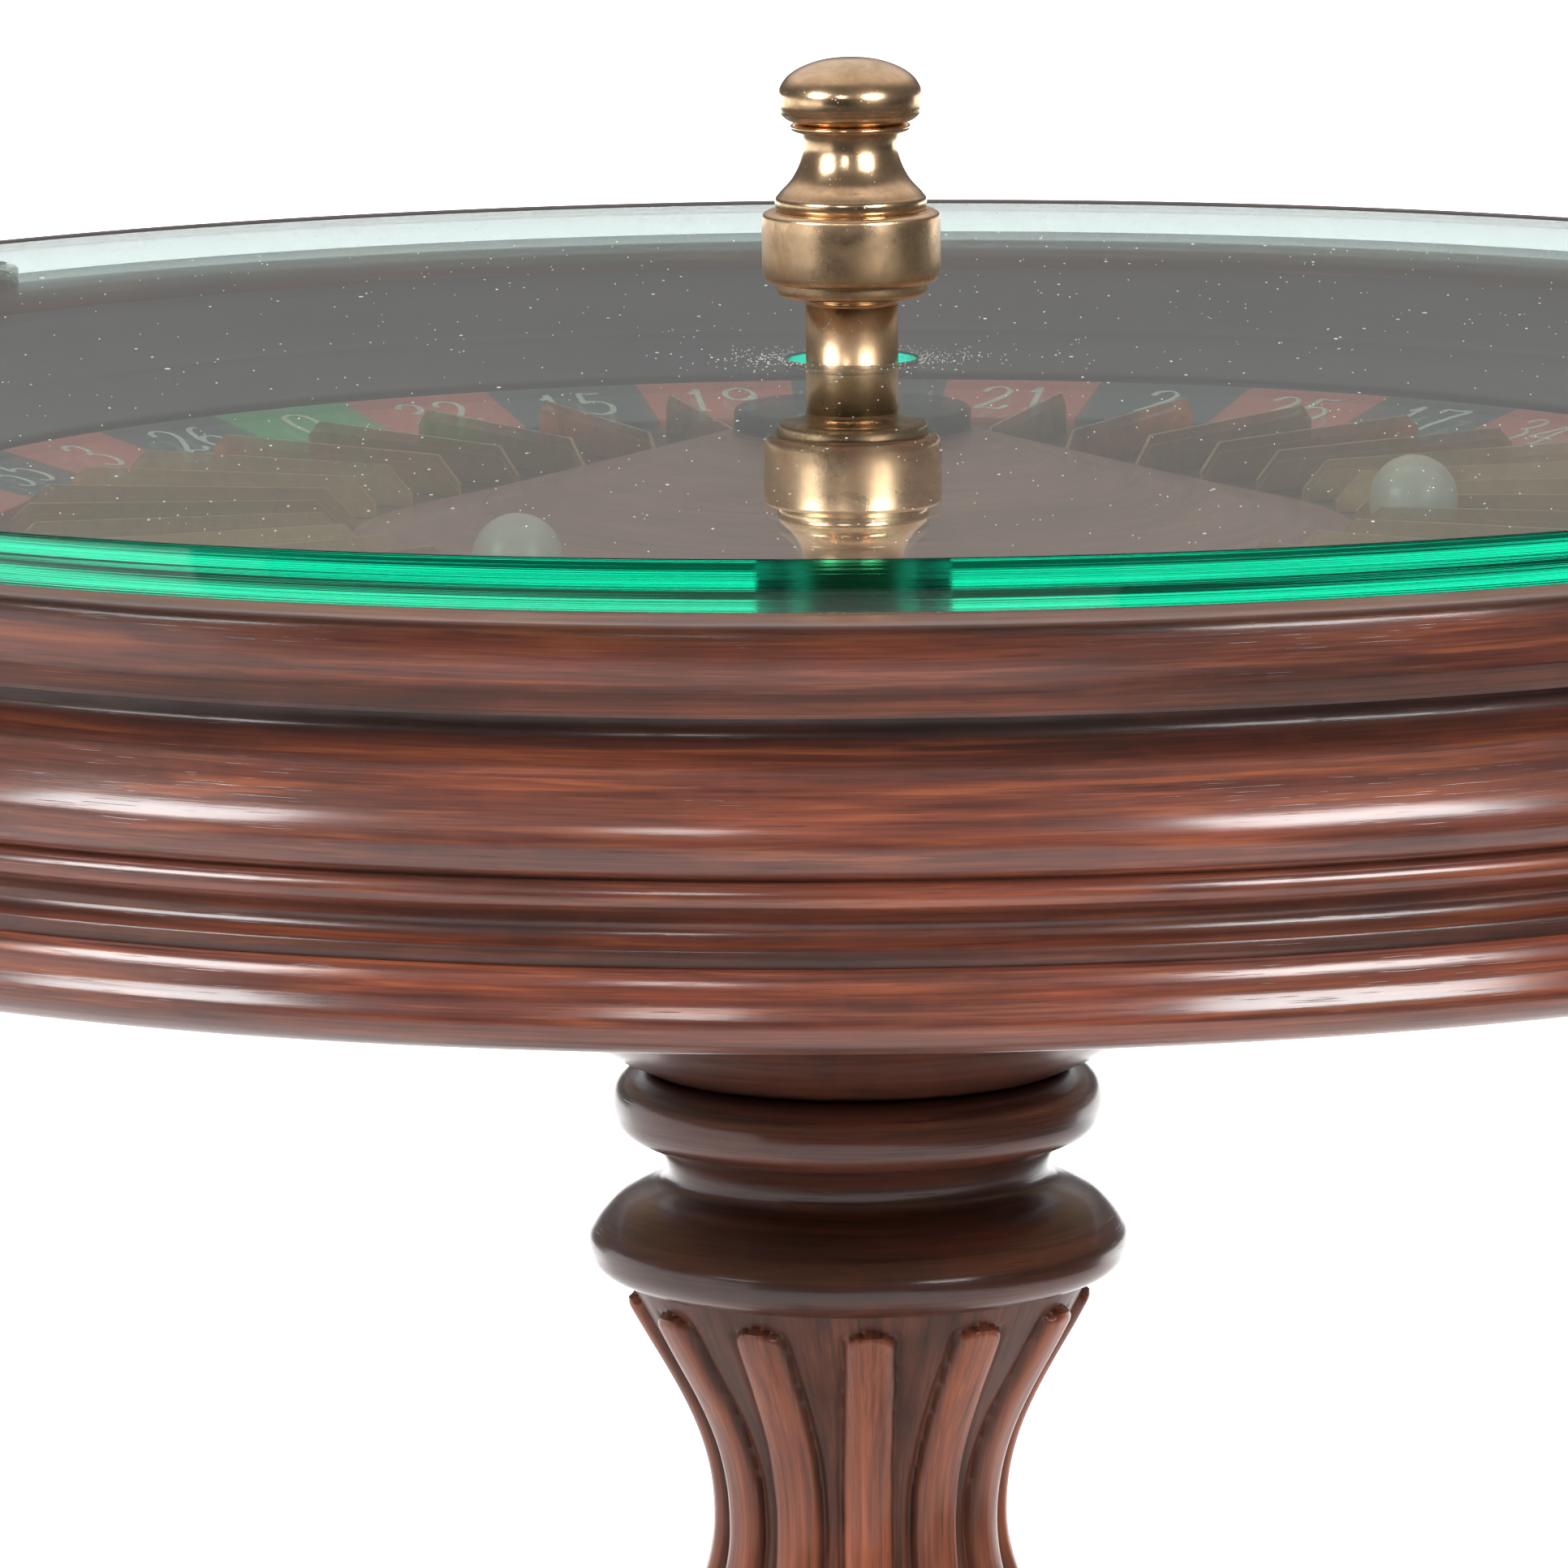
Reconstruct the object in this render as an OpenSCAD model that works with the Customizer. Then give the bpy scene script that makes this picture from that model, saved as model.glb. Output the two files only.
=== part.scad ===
// Glass-topped roulette table: a turned mahogany drum on a reeded pedestal with four
// sabre legs. The wheel turns inside the drum, and its brass spindle comes up through a
// hole in the glass, so it is spun by the finial above the glass.
// Origin: on the floor, under the wheel's axis. +Z up. Millimetres.

/* [Glass] */
// Radius of the glass top
glass_r = 360; // [354:1:372]
// Thickness of the glass
glass_t = 12; // [10:0.5:13]
// Radius of the hole that the spindle passes through
glass_hole_r = 16; // [14:0.5:18]
// Height of the upper face of the glass above the floor
glass_top_z = 762; // [755:1:790]

/* [Drum] */
// Gap between the glass and the rim, filled by the standoffs
glass_gap = 5.5; // [5:0.1:8]
// Outer radius of the rim's upper edge
rim_r = 342; // [336:1:346]
// Radius at which the rim meets the sloping bank
bank_outer_r = 312; // [308:1:314]
// Inner radius of the bank, at the gap round the wheel
bank_inner_r = 252.5; // [252:0.1:254]
// Radius of the circle that the four standoffs stand on
standoff_ring_r = 327; // [326:1:330]
// Radius of one standoff
standoff_r = 8; // [6:0.5:10]

/* [Wheel] */
// Number of pockets
pockets = 37; // [37]
// Angle of the first divider, measured from +Y towards +X
first_divider_deg = 5.9; // [0:0.1:9.7]
// Outer radius of the number ring
number_outer_r = 249.5; // [246:0.1:249.5]
// Inner radius of the number ring
number_inner_r = 219.5; // [216:0.1:222]
// Thickness of one pocket divider
divider_t = 1; // [0.8:0.1:1.2]
// Inner radius of the dividers
divider_inner_r = 126.5; // [124:0.1:130]
// Outer radius of the dividers
divider_outer_r = 209.5; // [205:0.1:214]
// Height of the dividers above the pocket floor
divider_h = 10.6; // [9:0.1:12]
// Radius of the centre cone at its foot
cone_r = 126; // [120:1:126]
// Radius of a ball
ball_r = 11; // [10:0.1:11]
// Radius at which a ball wedges between two dividers
ball_ring_r = 140; // [139:0.5:146]

/* [Spindle and finial] */
// Radius of the spindle where it passes the glass
spindle_r = 11.5; // [10:0.1:12]
// Radius of the widest part of the collar
collar_r = 22.2; // [20:0.1:24]
// Radius of the knob
knob_r = 17.9; // [16:0.1:19]
// Radius of the flange at the spindle's foot
flange_r = 29.5; // [27:0.1:32]

/* [Pedestal] */
// Radius of the reeded shaft at its waist
waist_r = 37.1; // [35:0.1:40]
// Radius of the reeded shaft at its flared top
flare_r = 59.4; // [56:0.1:60]
// Radius of the reeded shaft at its widest
vase_r = 73; // [66:0.5:78]
// Number of reeds round the shaft
reeds = 12; // [8:1:14]
// Angle of the first reed, measured from -Y towards +X
first_reed_deg = 4.7; // [0:0.1:15]
// Width of a reed
reed_w = 12.3; // [9:0.1:13]
// Radius of the hub that the legs join
hub_r = 58; // [56:1:60]
// Width of a leg
leg_w = 34; // [30:1:38]
// Distance from the axis to the end of a toe
toe_r = 290; // [280:1:296]

/* [Hidden] */
$fn = 180;
legs = 4;
standoffs = 4;
mahogany = [0.36, 0.17, 0.12];
dark_mahogany = [0.22, 0.12, 0.10];
plywood = [0.62, 0.48, 0.33];
brass = [0.72, 0.58, 0.36];
bronze = [0.30, 0.30, 0.24];
steel = [0.62, 0.63, 0.65];
bone = [0.80, 0.80, 0.72];
felt = [0.20, 0.22, 0.20];

// Heights of the drum, from the glass down
glass_under_z = glass_top_z - glass_t;
rim_top_z = glass_under_z - glass_gap;
fascia_foot_z = rim_top_z - 20.2;
torus_top_z = rim_top_z - 76.2;
drum_foot_z = torus_top_z - 20;
board_t = 13.5;
board_z = torus_top_z - board_t;
board_r = 316;
bank_under_z = rim_top_z - 42.5;
bank_inner_z = rim_top_z - 28.5;
shelf_r = 296;

// Heights of the wheel
pocket_z = rim_top_z - 37.9;
floor_t = 2;
disc_top_z = pocket_z - floor_t;
disc_z = disc_top_z - 14.6;
disc_r = 251;
number_inner_z = pocket_z + 1.9;
number_outer_z = pocket_z + 8.1;
divider_top_z = pocket_z + divider_h;
cone_top_r = 18;
cone_slope = 0.272;
flange_sunk = 2.2;
cone_top_z = pocket_z + (cone_r - cone_top_r) * cone_slope;
flange_t = 5.4;
flange_top_z = cone_top_z + flange_t - flange_sunk;
tenon_r = 6;
tenon_gap = 0.05;

// Bearings that carry the wheel: 15 mm bore, 32 mm outside, 9 mm wide
shaft_r = 7.5;
bearing_r = 16;
bearing_w = 9;
race_t = 2.6;
bearing_ball_r = 2.3;
bearing_balls = 9;
bearing_mid_r = (shaft_r + bearing_r) / 2;
lower_bearing_z = board_z + 3;
upper_bearing_z = lower_bearing_z + bearing_w + 9;
housing_r = 22;
housing_flange_r = 46;
housing_z = board_z + 1.5;
housing_top_z = upper_bearing_z + bearing_w;
hub_plate_t = 3;
hub_plate_z = disc_z - hub_plate_t;
shaft_foot_z = board_z - 4;

// Heights of the pedestal
capital_top_z = 583.5;
capital_foot_z = 527;
waist_z = 469;
vase_z = 379;
shaft_foot = 318;
hub_top_z = 210;
hub_foot_z = 96;
cleat_top_z = board_z;
rod_r = 5;
rod_bore_r = 5.3;
rod_foot_z = 80;
rod_top_z = cleat_top_z - 14;

// The two arcs that bound a sabre leg, in the leg's own plane
leg_top_arc = [380, 425, 404];
leg_under_arc = [332, 434, 430];
cap_t = 2.4;
cap_start_r = 244;
glide_r = 14;
glide_t = 2.5;
glide_x = 272;
dovetail_foot_z = 106;
dovetail_top_z = 174;

// Points along an arc about centre c
function arc(c, r, a0, a1, n = 10) =
  [for (i = [0:n]) let (a = a0 + (a1 - a0) * i / n) [c[0] + r * cos(a), c[1] + r * sin(a)]];

// Points along a curve from a to d that bends towards b
function bend(a, b, d, n = 8) =
  [for (i = [0:n]) let (t = i / n) (1 - t) * (1 - t) * a + 2 * t * (1 - t) * b + t * t * d];

// Points of an outline given as radius and depth below the rim's upper face
function below_rim(points) = [for (p = points) [p[0], rim_top_z + p[1]]];

module turned(points) {
  rotate_extrude() polygon(points);
}

module tube(outer_r, inner_r, z0, z1) {
  translate([0, 0, z0]) difference() {
    cylinder(r = outer_r, h = z1 - z0);
    translate([0, 0, -1]) cylinder(r = inner_r, h = z1 - z0 + 2);
  }
}

module rod(r, z0, z1) {
  translate([0, 0, z0]) cylinder(r = r, h = z1 - z0);
}

// n copies round the Z axis; the first stands at angle start from +X
module ring_of(n, start = 0) {
  for (i = [0:n - 1]) rotate([0, 0, start + i * 360 / n]) children();
}

// ---- Glass ----

module glass_top() {
  bevel = 1;
  color("palegreen", 0.5) rotate_extrude() polygon([
    [glass_hole_r, glass_under_z], [glass_r - bevel, glass_under_z],
    [glass_r, glass_under_z + bevel], [glass_r, glass_top_z - bevel],
    [glass_r - bevel, glass_top_z], [glass_hole_r, glass_top_z]
  ]);
}

pad_t = 0.8;
pad_r = 5;
standoff_top_z = glass_under_z - pad_t;
screw_head_r = 3.4;
screw_head_t = 2;

module standoff() {
  edge = 1.2;
  h = standoff_top_z - rim_top_z;
  translate([standoff_ring_r, 0, rim_top_z]) difference() {
    turned(concat([[0, 0], [standoff_r, 0]],
                  arc([standoff_r - edge, h - edge], edge, 0, 90, 6), [[0, h]]));
    translate([0, 0, -1]) cylinder(r = 2, h = h + 2);
    translate([0, 0, h - screw_head_t]) cylinder(r = screw_head_r + 0.1, h = screw_head_t + 1);
  }
}

module glass_standoffs() {
  color(brass) ring_of(standoffs, 45) standoff();
}

module standoff_pads() {
  color("white", 0.6) ring_of(standoffs, 45)
    translate([standoff_ring_r, 0, standoff_top_z])
      cylinder(r = pad_r, h = pad_t);
}

module standoff_screws() {
  color(steel) ring_of(standoffs, 45) translate([standoff_ring_r, 0, 0]) {
    rod(screw_head_r, standoff_top_z - screw_head_t, standoff_top_z);
    rod(1.9, rim_top_z - 12, standoff_top_z - 1);
  }
}

// ---- Drum ----

module rim_ring() {
  soft = 1.6;
  color(mahogany) difference() {
    turned(concat(
      [[bank_outer_r + 0.2, fascia_foot_z]],
      below_rim(bend([bank_outer_r + 0.2, -6.4], [bank_outer_r + 4, -2.2], [318.4, 0], 7)),
      arc([rim_r - soft, rim_top_z - soft], soft, 90, 0, 5),
      below_rim(bend([rim_r, -2.5], [rim_r + 3, -5.5], [rim_r, -10.5], 6)),
      below_rim(bend([rim_r, -10.5], [rim_r - 3, -15], [rim_r + 2, -18.6], 6)),
      [[rim_r + 1.4, fascia_foot_z]]));
    ring_of(standoffs, 45) translate([standoff_ring_r, 0, 0])
      rod(1.95, rim_top_z - 12.5, rim_top_z + 1);
  }
}

module apron_ring() {
  color(mahogany) difference() {
    turned(apron_profile);
    ring_of(board_screw_n, 22.5) translate([board_screw_ring_r, 0, 0])
      rod(2.05, torus_top_z - 1, torus_top_z + 14.5);
  }
}

apron_profile = concat(
    [[shelf_r, torus_top_z], [shelf_r, bank_under_z], [bank_outer_r + 0.2, bank_under_z],
     [bank_outer_r + 0.2, fascia_foot_z], [rim_r - 4.5, fascia_foot_z]],
    below_rim(bend([rim_r - 5, -26], [rim_r - 2, -32], [rim_r + 4, -38], 6)),
    below_rim(bend([rim_r + 4, -38], [rim_r + 9.6, -43.5], [rim_r + 7.4, -50.5], 8)),
    below_rim(bend([rim_r + 7.4, -50.5], [rim_r + 6, -54.5], [rim_r + 2, -56.2], 5)),
    below_rim([[rim_r + 2, -57.6], [rim_r + 4.4, -58.4]]),
    below_rim(bend([rim_r + 5, -59.2], [rim_r + 5.2, -62], [rim_r + 3, -64], 5)),
    below_rim(bend([rim_r + 1.6, -64.6], [rim_r - 5.5, -68], [rim_r - 1, -76.2], 8)));

module base_moulding() {
  color(mahogany) turned(concat(
    [[board_r - 8, drum_foot_z], [board_r - 8, board_z], [board_r + 0.3, board_z],
     [board_r + 0.3, torus_top_z], [rim_r + 1.5, torus_top_z]],
    below_rim(bend([rim_r + 4.6, -77.4], [rim_r + 8.8, -78.6], [rim_r + 7.6, -83], 6)),
    below_rim(bend([rim_r + 7.6, -83], [rim_r + 9.6, -86.8], [rim_r + 6, -91.6], 6)),
    below_rim(bend([rim_r + 6, -91.6], [rim_r + 3.6, -95.2], [rim_r - 2, -96.2], 6))));
}

module bowl_bank() {
  track_r = 279;
  color(dark_mahogany) turned(concat(
    [[bank_inner_r, bank_under_z], [bank_outer_r, bank_under_z]],
    below_rim(bend([bank_outer_r, -6.6], [302, -11.6], [track_r, -19.6], 8)),
    [[bank_inner_r + 1, bank_inner_z + 0.2], [bank_inner_r, bank_inner_z - 0.8]]));
}

board_screw_ring_r = 306;
board_screw_n = 8;

module drum_board() {
  color(plywood) difference() {
    rod(board_r, board_z, torus_top_z);
    rod(housing_r + 0.2, board_z - 1, torus_top_z + 1);
    ring_of(4, 45) translate([38, 0, 0]) rod(1.95, board_z + 1, torus_top_z + 1);
    ring_of(6) translate([85, 0, 0]) rod(2.6, board_z - 1, torus_top_z + 1);
    ring_of(board_screw_n, 22.5) translate([board_screw_ring_r, 0, 0]) {
      rod(2.1, board_z - 1, torus_top_z + 1);
      rod(4.1, board_z - 1, board_z + 2.2);
    }
  }
}

// Screws that hold the board up under the apron ring, from below
module board_screws() {
  color(steel) ring_of(board_screw_n, 22.5) translate([board_screw_ring_r, 0, 0]) {
    rod(4, board_z, board_z + 2.2);
    rod(2, board_z + 2, torus_top_z + 14);
  }
}

module bearing_housing() {
  land_r = 13.5;
  color(steel) difference() {
    union() {
      rod(housing_r, housing_z, housing_top_z);
      rod(housing_flange_r, torus_top_z, torus_top_z + 4.5);
    }
    rod(bearing_r + 0.02, housing_z - 1, lower_bearing_z + bearing_w);
    rod(land_r, lower_bearing_z, upper_bearing_z + 1);
    rod(bearing_r + 0.02, upper_bearing_z, housing_top_z + 1);
    ring_of(4, 45) translate([38, 0, 0]) rod(2.1, torus_top_z - 1, torus_top_z + 6);
  }
}

module housing_screws() {
  head_z = torus_top_z + 4.5;
  color(steel) ring_of(4, 45) translate([38, 0, 0]) {
    rod(3.8, head_z, head_z + 2.4);
    rod(1.9, board_z + 1.5, head_z + 1);
  }
}

// ---- Bearings ----

groove_r = bearing_ball_r + 0.08;

module race_groove(z0) {
  translate([0, 0, z0 + bearing_w / 2]) rotate_extrude()
    translate([bearing_mid_r, 0]) circle(r = groove_r, $fn = 48);
}

module outer_race(z0) {
  color(steel) difference() {
    tube(bearing_r, bearing_r - race_t, z0, z0 + bearing_w);
    race_groove(z0);
  }
}

module inner_race(z0) {
  color(steel) difference() {
    tube(shaft_r + race_t, shaft_r + 0.02, z0, z0 + bearing_w);
    race_groove(z0);
  }
}

module race_balls(z0) {
  color(steel) ring_of(bearing_balls)
    translate([bearing_mid_r, 0, z0 + bearing_w / 2]) sphere(r = bearing_ball_r, $fn = 48);
}

// ---- Pedestal ----

// The dished block that spreads the column's load under the drum
module drum_cleat() {
  color(mahogany) difference() {
    turned(concat(
      [[0, capital_top_z], [51.6, capital_top_z]],
      bend([52.3, capital_top_z + 0.4], [74, capital_top_z + 9], [112, cleat_top_z - 16], 10),
      bend([112, cleat_top_z - 16], [120, cleat_top_z - 12], [120, cleat_top_z], 6),
      [[0, cleat_top_z]]));
    rod(rod_bore_r, capital_top_z - 1, cleat_top_z + 1);
    rod(housing_r + 2, rod_top_z - 12, cleat_top_z + 1);
    ring_of(6) translate([85, 0, 0]) rod(2.55, cleat_top_z - 24, cleat_top_z + 1);
  }
}

module cleat_screws() {
  color(steel) ring_of(6) translate([85, 0, 0]) {
    rod(5, torus_top_z, torus_top_z + 2.6);
    rod(2.5, cleat_top_z - 23, torus_top_z + 1);
  }
}

module column_capital() {
  color(mahogany) difference() {
    turned(concat(
      [[0, capital_foot_z], [0, capital_top_z]],
      arc([50.2, capital_top_z - 9.5], 9.5, 90, -62, 14),
      bend([52.6, 564.6], [45.2, 562], [46, 555.4], 7),
      bend([46, 555.4], [46.8, 551.6], [55.6, 550.7], 5),
      bend([55.6, 550.7], [66.4, 546], [66.8, 536], 8),
      bend([66.8, 536], [66.8, 530], [59, capital_foot_z], 7)));
    rod(rod_bore_r, capital_foot_z - 1, capital_top_z + 1);
  }
}

// Radius of the shaft over the reeds, from the flare down through the waist to the vase
function flare(t) = t * t * (1 + 0.25 * sin(180 * t));
function shaft_radius(z) =
  z > waist_z ? waist_r + (flare_r - waist_r) * flare((z - waist_z) / (capital_foot_z - waist_z))
  : z > vase_z ? waist_r + (vase_r - waist_r) * (1 - cos(180 * (waist_z - z) / (waist_z - vase_z))) / 2
  : 40 + (vase_r - 40) * sqrt(1 - pow((vase_z - z) / (vase_z - shaft_foot), 2));

reed_h = 4;
shaft_steps = 30;
shaft_zs = [for (i = [0:shaft_steps]) capital_foot_z + (shaft_foot - capital_foot_z) * i / shaft_steps];

module shaft_outline(inset) {
  polygon(concat([[0, capital_foot_z]], [for (z = shaft_zs) [shaft_radius(z) - inset, z]],
                 [[0, shaft_foot]]));
}

module reeded_shaft() {
  reed_top_z = capital_foot_z - 1;
  reed_foot_z = shaft_foot + 4;
  color(mahogany) difference() {
    union() {
      rotate_extrude() shaft_outline(reed_h);
      ring_of(reeds, first_reed_deg - 90) intersection() {
        rotate_extrude() shaft_outline(0);
        translate([0, -reed_w / 2, reed_foot_z])
          cube([vase_r + 1, reed_w, reed_top_z - reed_foot_z]);
      }
    }
    rod(rod_bore_r, shaft_foot - 1, capital_foot_z + 1);
  }
}

module column_base() {
  color(mahogany) difference() {
    turned(concat(
      [[0, hub_top_z], [0, shaft_foot]],
      arc([41, shaft_foot - 8], 8, 90, -70, 12),
      bend([41, 301], [37, 294], [40, 286], 6),
      bend([40, 286], [46, 270], [60, 266], 8),
      arc([60, 257], 9, 90, -70, 12),
      bend([60, 246], [54, 238], [53, 228], 6),
      [[53, 224], [57, 222]],
      arc([57, 216], 6, 90, -90, 10)));
    rod(rod_bore_r, hub_top_z - 1, shaft_foot + 1);
  }
}

module leg_hub() {
  bead = 3;
  color(mahogany) difference() {
    turned(concat(
      [[0, hub_foot_z], [hub_r - 4, hub_foot_z]],
      arc([hub_r - 1, hub_foot_z + bead], bead, -90, 90, 8),
      arc([hub_r - 1, hub_top_z - bead], bead, -90, 90, 8),
      [[0, hub_top_z]]));
    rod(rod_bore_r, hub_foot_z - 1, hub_top_z + 1);
    ring_of(legs, 45) dovetail(0.1, hub_foot_z - 1, dovetail_top_z + 0.1);
  }
}

nut_af_r = 9.2;
nut_t = 9;

// Turned drop that covers the lower nut of the tie rod
module hub_pendant() {
  color(mahogany) difference() {
    turned(concat(
      [[0, 56]],
      bend([4, 56.5], [24, 60], [27, 74], 8),
      bend([27, 74], [30, 82], [46, 86], 6),
      arc([46, 91], 5, -90, 90, 8),
      [[0, hub_foot_z]]));
    rod(12, rod_foot_z - 2, hub_foot_z + 1);
  }
}

module tie_rod() {
  color(steel) rod(rod_r, rod_foot_z, rod_top_z);
}

module hex_nut(r, bore, z0, z1) {
  translate([0, 0, z0]) difference() {
    cylinder(r = r, h = z1 - z0, $fn = 6);
    translate([0, 0, -1]) cylinder(r = bore, h = z1 - z0 + 2);
  }
}

// Nuts at both ends of the tie rod
module tie_nuts() {
  color(steel) {
    hex_nut(nut_af_r, rod_r + 0.02, hub_foot_z - nut_t, hub_foot_z);
    hex_nut(nut_af_r, rod_r + 0.02, rod_top_z - 12, rod_top_z - 3);
  }
}

// Angle of leg i, from +X
function leg_angle(i) = 45 + (i - 1) * 360 / legs;

// Side view of a leg between two arcs that each stand out by grow
module leg_outline(grow, x0, x1) {
  intersection() {
    difference() {
      translate([leg_under_arc[0], leg_under_arc[1]]) circle(r = leg_under_arc[2] + grow);
      translate([leg_top_arc[0], leg_top_arc[1]]) circle(r = leg_top_arc[2] - grow);
    }
    translate([x0, 0]) square([x1 - x0, 200]);
  }
}

module leg_slab(grow, x0, x1, w) {
  rotate([90, 0, 0]) translate([0, 0, -w / 2]) linear_extrude(w) leg_outline(grow, x0, x1);
}

// Sliding dovetail that joins a leg to the hub from below
module dovetail(grow, z0, z1) {
  depth = 14;
  neck = 6 + grow;
  tail = 9 + grow;
  translate([0, 0, z0]) linear_extrude(z1 - z0) polygon([
    [hub_r - depth - grow, -tail], [hub_r + 2, -neck],
    [hub_r + 2, neck], [hub_r - depth - grow, tail]
  ]);
}

module leg(i) {
  color(mahogany) rotate([0, 0, leg_angle(i)]) {
    difference() {
      leg_slab(0, hub_r - 20, toe_r - cap_t, leg_w);
      rod(hub_r + 0.05, 0, hub_top_z);
    }
    dovetail(0, dovetail_foot_z, dovetail_top_z);
  }
}

module toe_cap(i) {
  color(brass) rotate([0, 0, leg_angle(i)]) difference() {
    union() {
      leg_slab(cap_t, cap_start_r, toe_r, leg_w + 2 * cap_t);
      translate([glide_x, 0, 0]) rod(glide_r, glide_t, glide_t + 7);
    }
    leg_slab(0.02, cap_start_r - 20, toe_r - cap_t + 0.02, leg_w + 0.04);
  }
}

module foot_glides() {
  color(felt) ring_of(legs, 45) translate([glide_x, 0, 0]) rod(glide_r, 0, glide_t);
}

// ---- Wheel ----

module wheel_disc() {
  color(dark_mahogany) difference() {
    rod(disc_r, disc_z, disc_top_z);
    rod(tenon_r + tenon_gap, disc_z - 1, disc_top_z + 1);
    ring_of(4) translate([36, 0, 0]) rod(1.95, disc_z - 1, disc_z + 11);
  }
}

module number_ring() {
  color("firebrick") turned([
    [number_inner_r, disc_top_z], [number_outer_r, disc_top_z],
    [number_outer_r, number_outer_z], [number_inner_r, number_inner_z]
  ]);
}

module pocket_floor() {
  color([0.34, 0.24, 0.18])
    tube(number_inner_r - 0.1, divider_inner_r - 0.3, disc_top_z, pocket_z);
}

// One upright plate with its upper corners cut off
module divider() {
  inner_cut = [7, 7];
  outer_cut = [4.5, 4];
  rotate([90, 0, 0]) translate([0, 0, -divider_t / 2]) linear_extrude(divider_t) polygon([
    [divider_inner_r, pocket_z], [divider_outer_r, pocket_z],
    [divider_outer_r, divider_top_z - outer_cut[1]],
    [divider_outer_r - outer_cut[0], divider_top_z],
    [divider_inner_r + inner_cut[0], divider_top_z],
    [divider_inner_r, divider_top_z - inner_cut[1]]
  ]);
}

module pocket_dividers() {
  color(brass) ring_of(pockets, 90 - first_divider_deg) divider();
}

module centre_cone() {
  color([0.45, 0.33, 0.27]) difference() {
    turned([
      [0, disc_top_z], [cone_r, disc_top_z], [cone_r, pocket_z],
      [cone_top_r, cone_top_z], [0, cone_top_z]
    ]);
    rod(tenon_r + tenon_gap, disc_top_z - 1, cone_top_z + 1);
    rod(flange_r + 0.1, flange_top_z - flange_t, cone_top_z + 1);
  }
}

module spindle_flange() {
  color(bronze) difference() {
    turned(concat(
      [[0, flange_top_z - flange_t], [flange_r, flange_top_z - flange_t]],
      arc([flange_r - 1.5, flange_top_z - 1.5], 1.5, 0, 90, 5),
      [[0, flange_top_z]]));
    rod(tenon_r + tenon_gap, flange_top_z - flange_t - 1, flange_top_z + 1);
  }
}

// Heights of the finial above the glass
collar_foot_z = glass_top_z + 14;
vase_foot_z = glass_top_z + 37;
knob_foot_z = glass_top_z + 57.6;
knob_top_z = glass_top_z + 74.8;
pin_r = 4;
pin_gap = 0.05;
stud_r = 3.5;
stud_h = 28;

module spindle() {
  edge = 1;
  color(brass) turned(concat(
    [[tenon_r, disc_z], [tenon_r, flange_top_z], [spindle_r, flange_top_z]],
    arc([spindle_r - edge, collar_foot_z - 3], edge, 0, 90, 4),
    [[pin_r + 4, collar_foot_z - 2], [pin_r + 4, collar_foot_z], [pin_r, collar_foot_z],
     [pin_r, knob_foot_z + 8], [0, knob_foot_z + 8],
     [0, disc_z + stud_h + 1], [stud_r + pin_gap, disc_z + stud_h + 1],
     [stud_r + pin_gap, disc_z]]));
}

module finial_collar() {
  g = glass_top_z;
  color(brass) turned(concat(
    [[pin_r + pin_gap, collar_foot_z]],
    bend([spindle_r, collar_foot_z], [12.6, g + 15], [16.6, g + 15.2], 5),
    bend([16.6, g + 15.2], [18.9, g + 15.4], [18.9, g + 19.2], 5),
    arc([collar_r - 2.2, g + 21.6], 2.2, -80, 0, 5),
    bend([collar_r, g + 22], [collar_r + 0.3, g + 29], [collar_r, g + 34], 5),
    arc([collar_r - 1.6, g + 35.4], 1.6, 0, 90, 5),
    [[pin_r + pin_gap, vase_foot_z]]));
}

module finial_vase() {
  g = glass_top_z;
  color(brass) turned(concat(
    [[pin_r + pin_gap, vase_foot_z], [18.2, vase_foot_z]],
    bend([18.2, vase_foot_z], [19.2, g + 38.6], [18.6, g + 40.6], 4),
    bend([18.6, g + 40.6], [13.4, g + 46.2], [12, g + 51.6], 8),
    bend([12, g + 51.6], [11.4, g + 54], [12.2, g + 56], 4),
    arc([13.4, g + 57], 1.3, -130, 60, 6),
    [[pin_r + pin_gap, knob_foot_z]]));
}

module finial_knob() {
  g = glass_top_z;
  seam_z = g + 62.8;
  color(brass) difference() {
    turned(concat(
      [[0, g + 58.2], [13.6, g + 58.2]],
      bend([14.2, g + 58.6], [17.4, g + 59.6], [knob_r - 0.4, seam_z], 5),
      [[knob_r - 0.4, seam_z]],
      bend([knob_r, seam_z + 0.3], [knob_r + 0.2, g + 70.4], [11.4, g + 73], 8),
      bend([11.4, g + 73], [6, knob_top_z], [0, knob_top_z], 6)));
    rod(pin_r + pin_gap, g + 50, knob_foot_z + 8.2);
  }
}

// ---- Wheel hub ----

module hub_plate() {
  boss_r = shaft_r + race_t;
  color(steel) difference() {
    union() {
      rod(housing_flange_r, hub_plate_z, disc_z);
      rod(boss_r, housing_top_z, hub_plate_z + 1);
    }
    rod(shaft_r + 0.02, housing_top_z - 1, disc_z + 1);
    ring_of(4) translate([36, 0, 0]) rod(2.1, hub_plate_z - 1, disc_z + 1);
  }
}

module hub_screws() {
  color(steel) ring_of(4) translate([36, 0, 0]) {
    rod(3.6, hub_plate_z - 2.2, hub_plate_z);
    rod(1.9, hub_plate_z - 1, disc_z + 10);
  }
}

module pivot_shaft() {
  color(steel) {
    rod(shaft_r, shaft_foot_z, disc_z);
    rod(stud_r, disc_z - 1, disc_z + stud_h);
  }
}

module bearing_spacer() {
  color(steel)
    tube(shaft_r + 2, shaft_r + 0.02, lower_bearing_z + bearing_w, upper_bearing_z);
}

module shaft_nut() {
  color(steel) hex_nut(11.5, shaft_r + 0.02, shaft_foot_z + 1, lower_bearing_z);
}

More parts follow.
